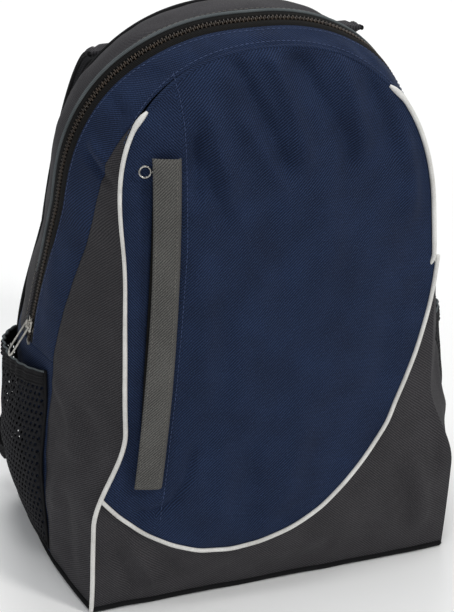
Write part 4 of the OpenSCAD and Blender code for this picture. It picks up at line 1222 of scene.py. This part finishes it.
s, a = np.meshgrid(np.linspace(-0.85, 0.85, 80), np.linspace(0.77, 0.9, 26))
q, t = s / 0.85, (a - 0.77) / 0.065 - 1
puff = 1.2 + 3.1 * (1 - 0.8 * q ** 10) * (1 - 0.8 * t ** 8) + 0.25 * wave_noise(s * 120, a * 400, 30, 81)
cloth("yoke_cloth", back_grid(a, s, puff), back_grid(a, s, 0.4), [webbing_black], "bag",
      ["strap_yoke"])
parts = []
for q, t in (((-0.8, 0.8), (0.785, 0.785)), ((-0.8, 0.8), (0.885, 0.885)), ((-0.8, -0.8), (0.785, 0.885)),
             ((0.8, 0.8), (0.785, 0.885))):
    run = np.linspace(0, 1, 60)
    line = back_grid(mix(t[0], t[1], run), mix(q[0], q[1], run), 4.4)
    parts += stitch_parts(line, np.array([0, 1.0, 0.2]), 2.8, 1.4, 0.32)
joined("yoke_stitches", parts, grey_thread, "bag")

HANDLE, HANDLE_R, HANDLE_W, HANDLE_LEG, HANDLE_T = np.array([0, 77, 404]), 38, 20, 18, 2.2
mid_r = HANDLE_R - HANDLE_W / 2
turn = np.linspace(math.pi, 2 * math.pi, 60)
legs = np.linspace(1.2, -HANDLE_LEG, 8)
turn = turn[1:-1]
path = np.concatenate([stack(-mid_r, 0, legs),
                       stack(mid_r * np.cos(turn), 0, mid_r * np.sin(turn) - HANDLE_LEG),
                       stack(mid_r, 0, legs[::-1])]) + HANDLE
grip = ramp(0.1, 0.4, np.linspace(0, 1, len(path))) * ramp(0.9, 0.6, np.linspace(0, 1, len(path)))
radial = path - (HANDLE - [0, 0, HANDLE_LEG])
radial[:8], radial[-8:] = [-1, 0, 0], [1, 0, 0]
c = np.linspace(-1, 1, 13)
width = mix(HANDLE_W, HANDLE_W - 5, grip) / 2
thick = mix(HANDLE_T / 2, 2.7, grip)
across = unit(radial)
grid = path[:, None] + across[:, None] * width[:, None, None] * c[None, :, None]
out = np.array([0, 1.0, 0]) * (thick[:, None] * (1 - 0.55 * np.abs(c)[None] ** 4))[..., None]
piece = sheet_mesh("grab_handle_webbing", grid + out, grid - out, [webbing_black])
place(piece, "grab_handle", ["grab_handle"])


# ---- Kept CAD parts: better materials ----

KEPT = ((binding_black, ("base_panel",)), (plastic, ("base_board", "left_ladder_lock", "right_ladder_lock")),
        (nickel, ("zip_stops", "main_slider", "main_pull", "pocket_slider", "pocket_pull")))
for material, kept_nodes in KEPT:
    for node in kept_nodes:
        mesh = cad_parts[node].data
        mesh.materials.clear()
        mesh.materials.append(material)


# ---- Camera, light and floor ----

AIM, DISTANCE = Vector((-0.0205, 0.0045, 0.2112)), 1.305
AZIMUTH, ELEVATION, ROLL = math.radians(-19.4), math.radians(31.9), math.radians(2.37)
towards = Vector((math.sin(AZIMUTH) * math.cos(ELEVATION), -math.cos(AZIMUTH) * math.cos(ELEVATION),
                  math.sin(ELEVATION)))
right = (-towards).cross(Vector((0, 0, 1))).normalized()
up = right.cross(-towards)
rolled = right * math.cos(ROLL) + up * math.sin(ROLL), up * math.cos(ROLL) - right * math.sin(ROLL)
camera = bpy.data.objects.new("camera", bpy.data.cameras.new("camera"))
camera.data.lens, camera.data.sensor_width, camera.data.sensor_fit = 102.7, 36, "AUTO"
camera.matrix_world = Matrix.Translation(AIM + towards * DISTANCE) @ Matrix(
    (rolled[0], rolled[1], towards)).transposed().to_4x4()
bpy.context.scene.collection.objects.link(camera)
bpy.context.scene.camera = camera
bpy.context.scene.view_settings.view_transform = "Standard"


def area_light(name, place_at, size, power, colour=(1, 1, 1)):
    light = bpy.data.objects.new(name, bpy.data.lights.new(name, "AREA"))
    light.data.shape, light.data.size, light.data.energy, light.data.color = "DISK", size, power, colour
    light.location = place_at
    light.rotation_euler = (Vector((0, 0, 0.2)) - Vector(place_at)).to_track_quat("-Z", "Y").to_euler()
    bpy.context.scene.collection.objects.link(light)


area_light("key", (1.15, -1.15, 1.9), 0.35, 17, (1, 0.985, 0.96))
area_light("fill", (-1.5, -1.7, 1.3), 1.0, 8, (0.95, 0.97, 1))
area_light("back", (0.4, 1.9, 1.8), 1.6, 24)
area_light("top", (0, 0.3, 2.6), 1.2, 20)

world = bpy.data.worlds.new("studio")
world.use_nodes = True
world.node_tree.nodes["Background"].inputs["Color"].default_value = (0.92, 0.94, 0.96, 1)
world.node_tree.nodes["Background"].inputs["Strength"].default_value = 0.36
bpy.context.scene.world = world

floor_mesh = bpy.data.meshes.new("floor")
edit = bmesh.new()
bmesh.ops.create_grid(edit, x_segments=2, y_segments=2, size=6)
edit.to_mesh(floor_mesh)
edit.free()
floor = bpy.data.objects.new("floor", floor_mesh)
floor.location = (0, 0, -0.0005)
bpy.context.scene.collection.objects.link(floor)
paper, tree, shader = node_material("pale_floor", 0.9)
paper_noise = noise(tree, coords(tree, "Object"), 0.4, 2)
paper_colour = colour_ramp(tree, paper_noise, [(0.3, (0.93, 0.93, 0.925)), (0.7, (0.96, 0.96, 0.955))])
tree.links.new(paper_colour, shader.inputs["Base Color"])
floor.data.materials.append(paper)
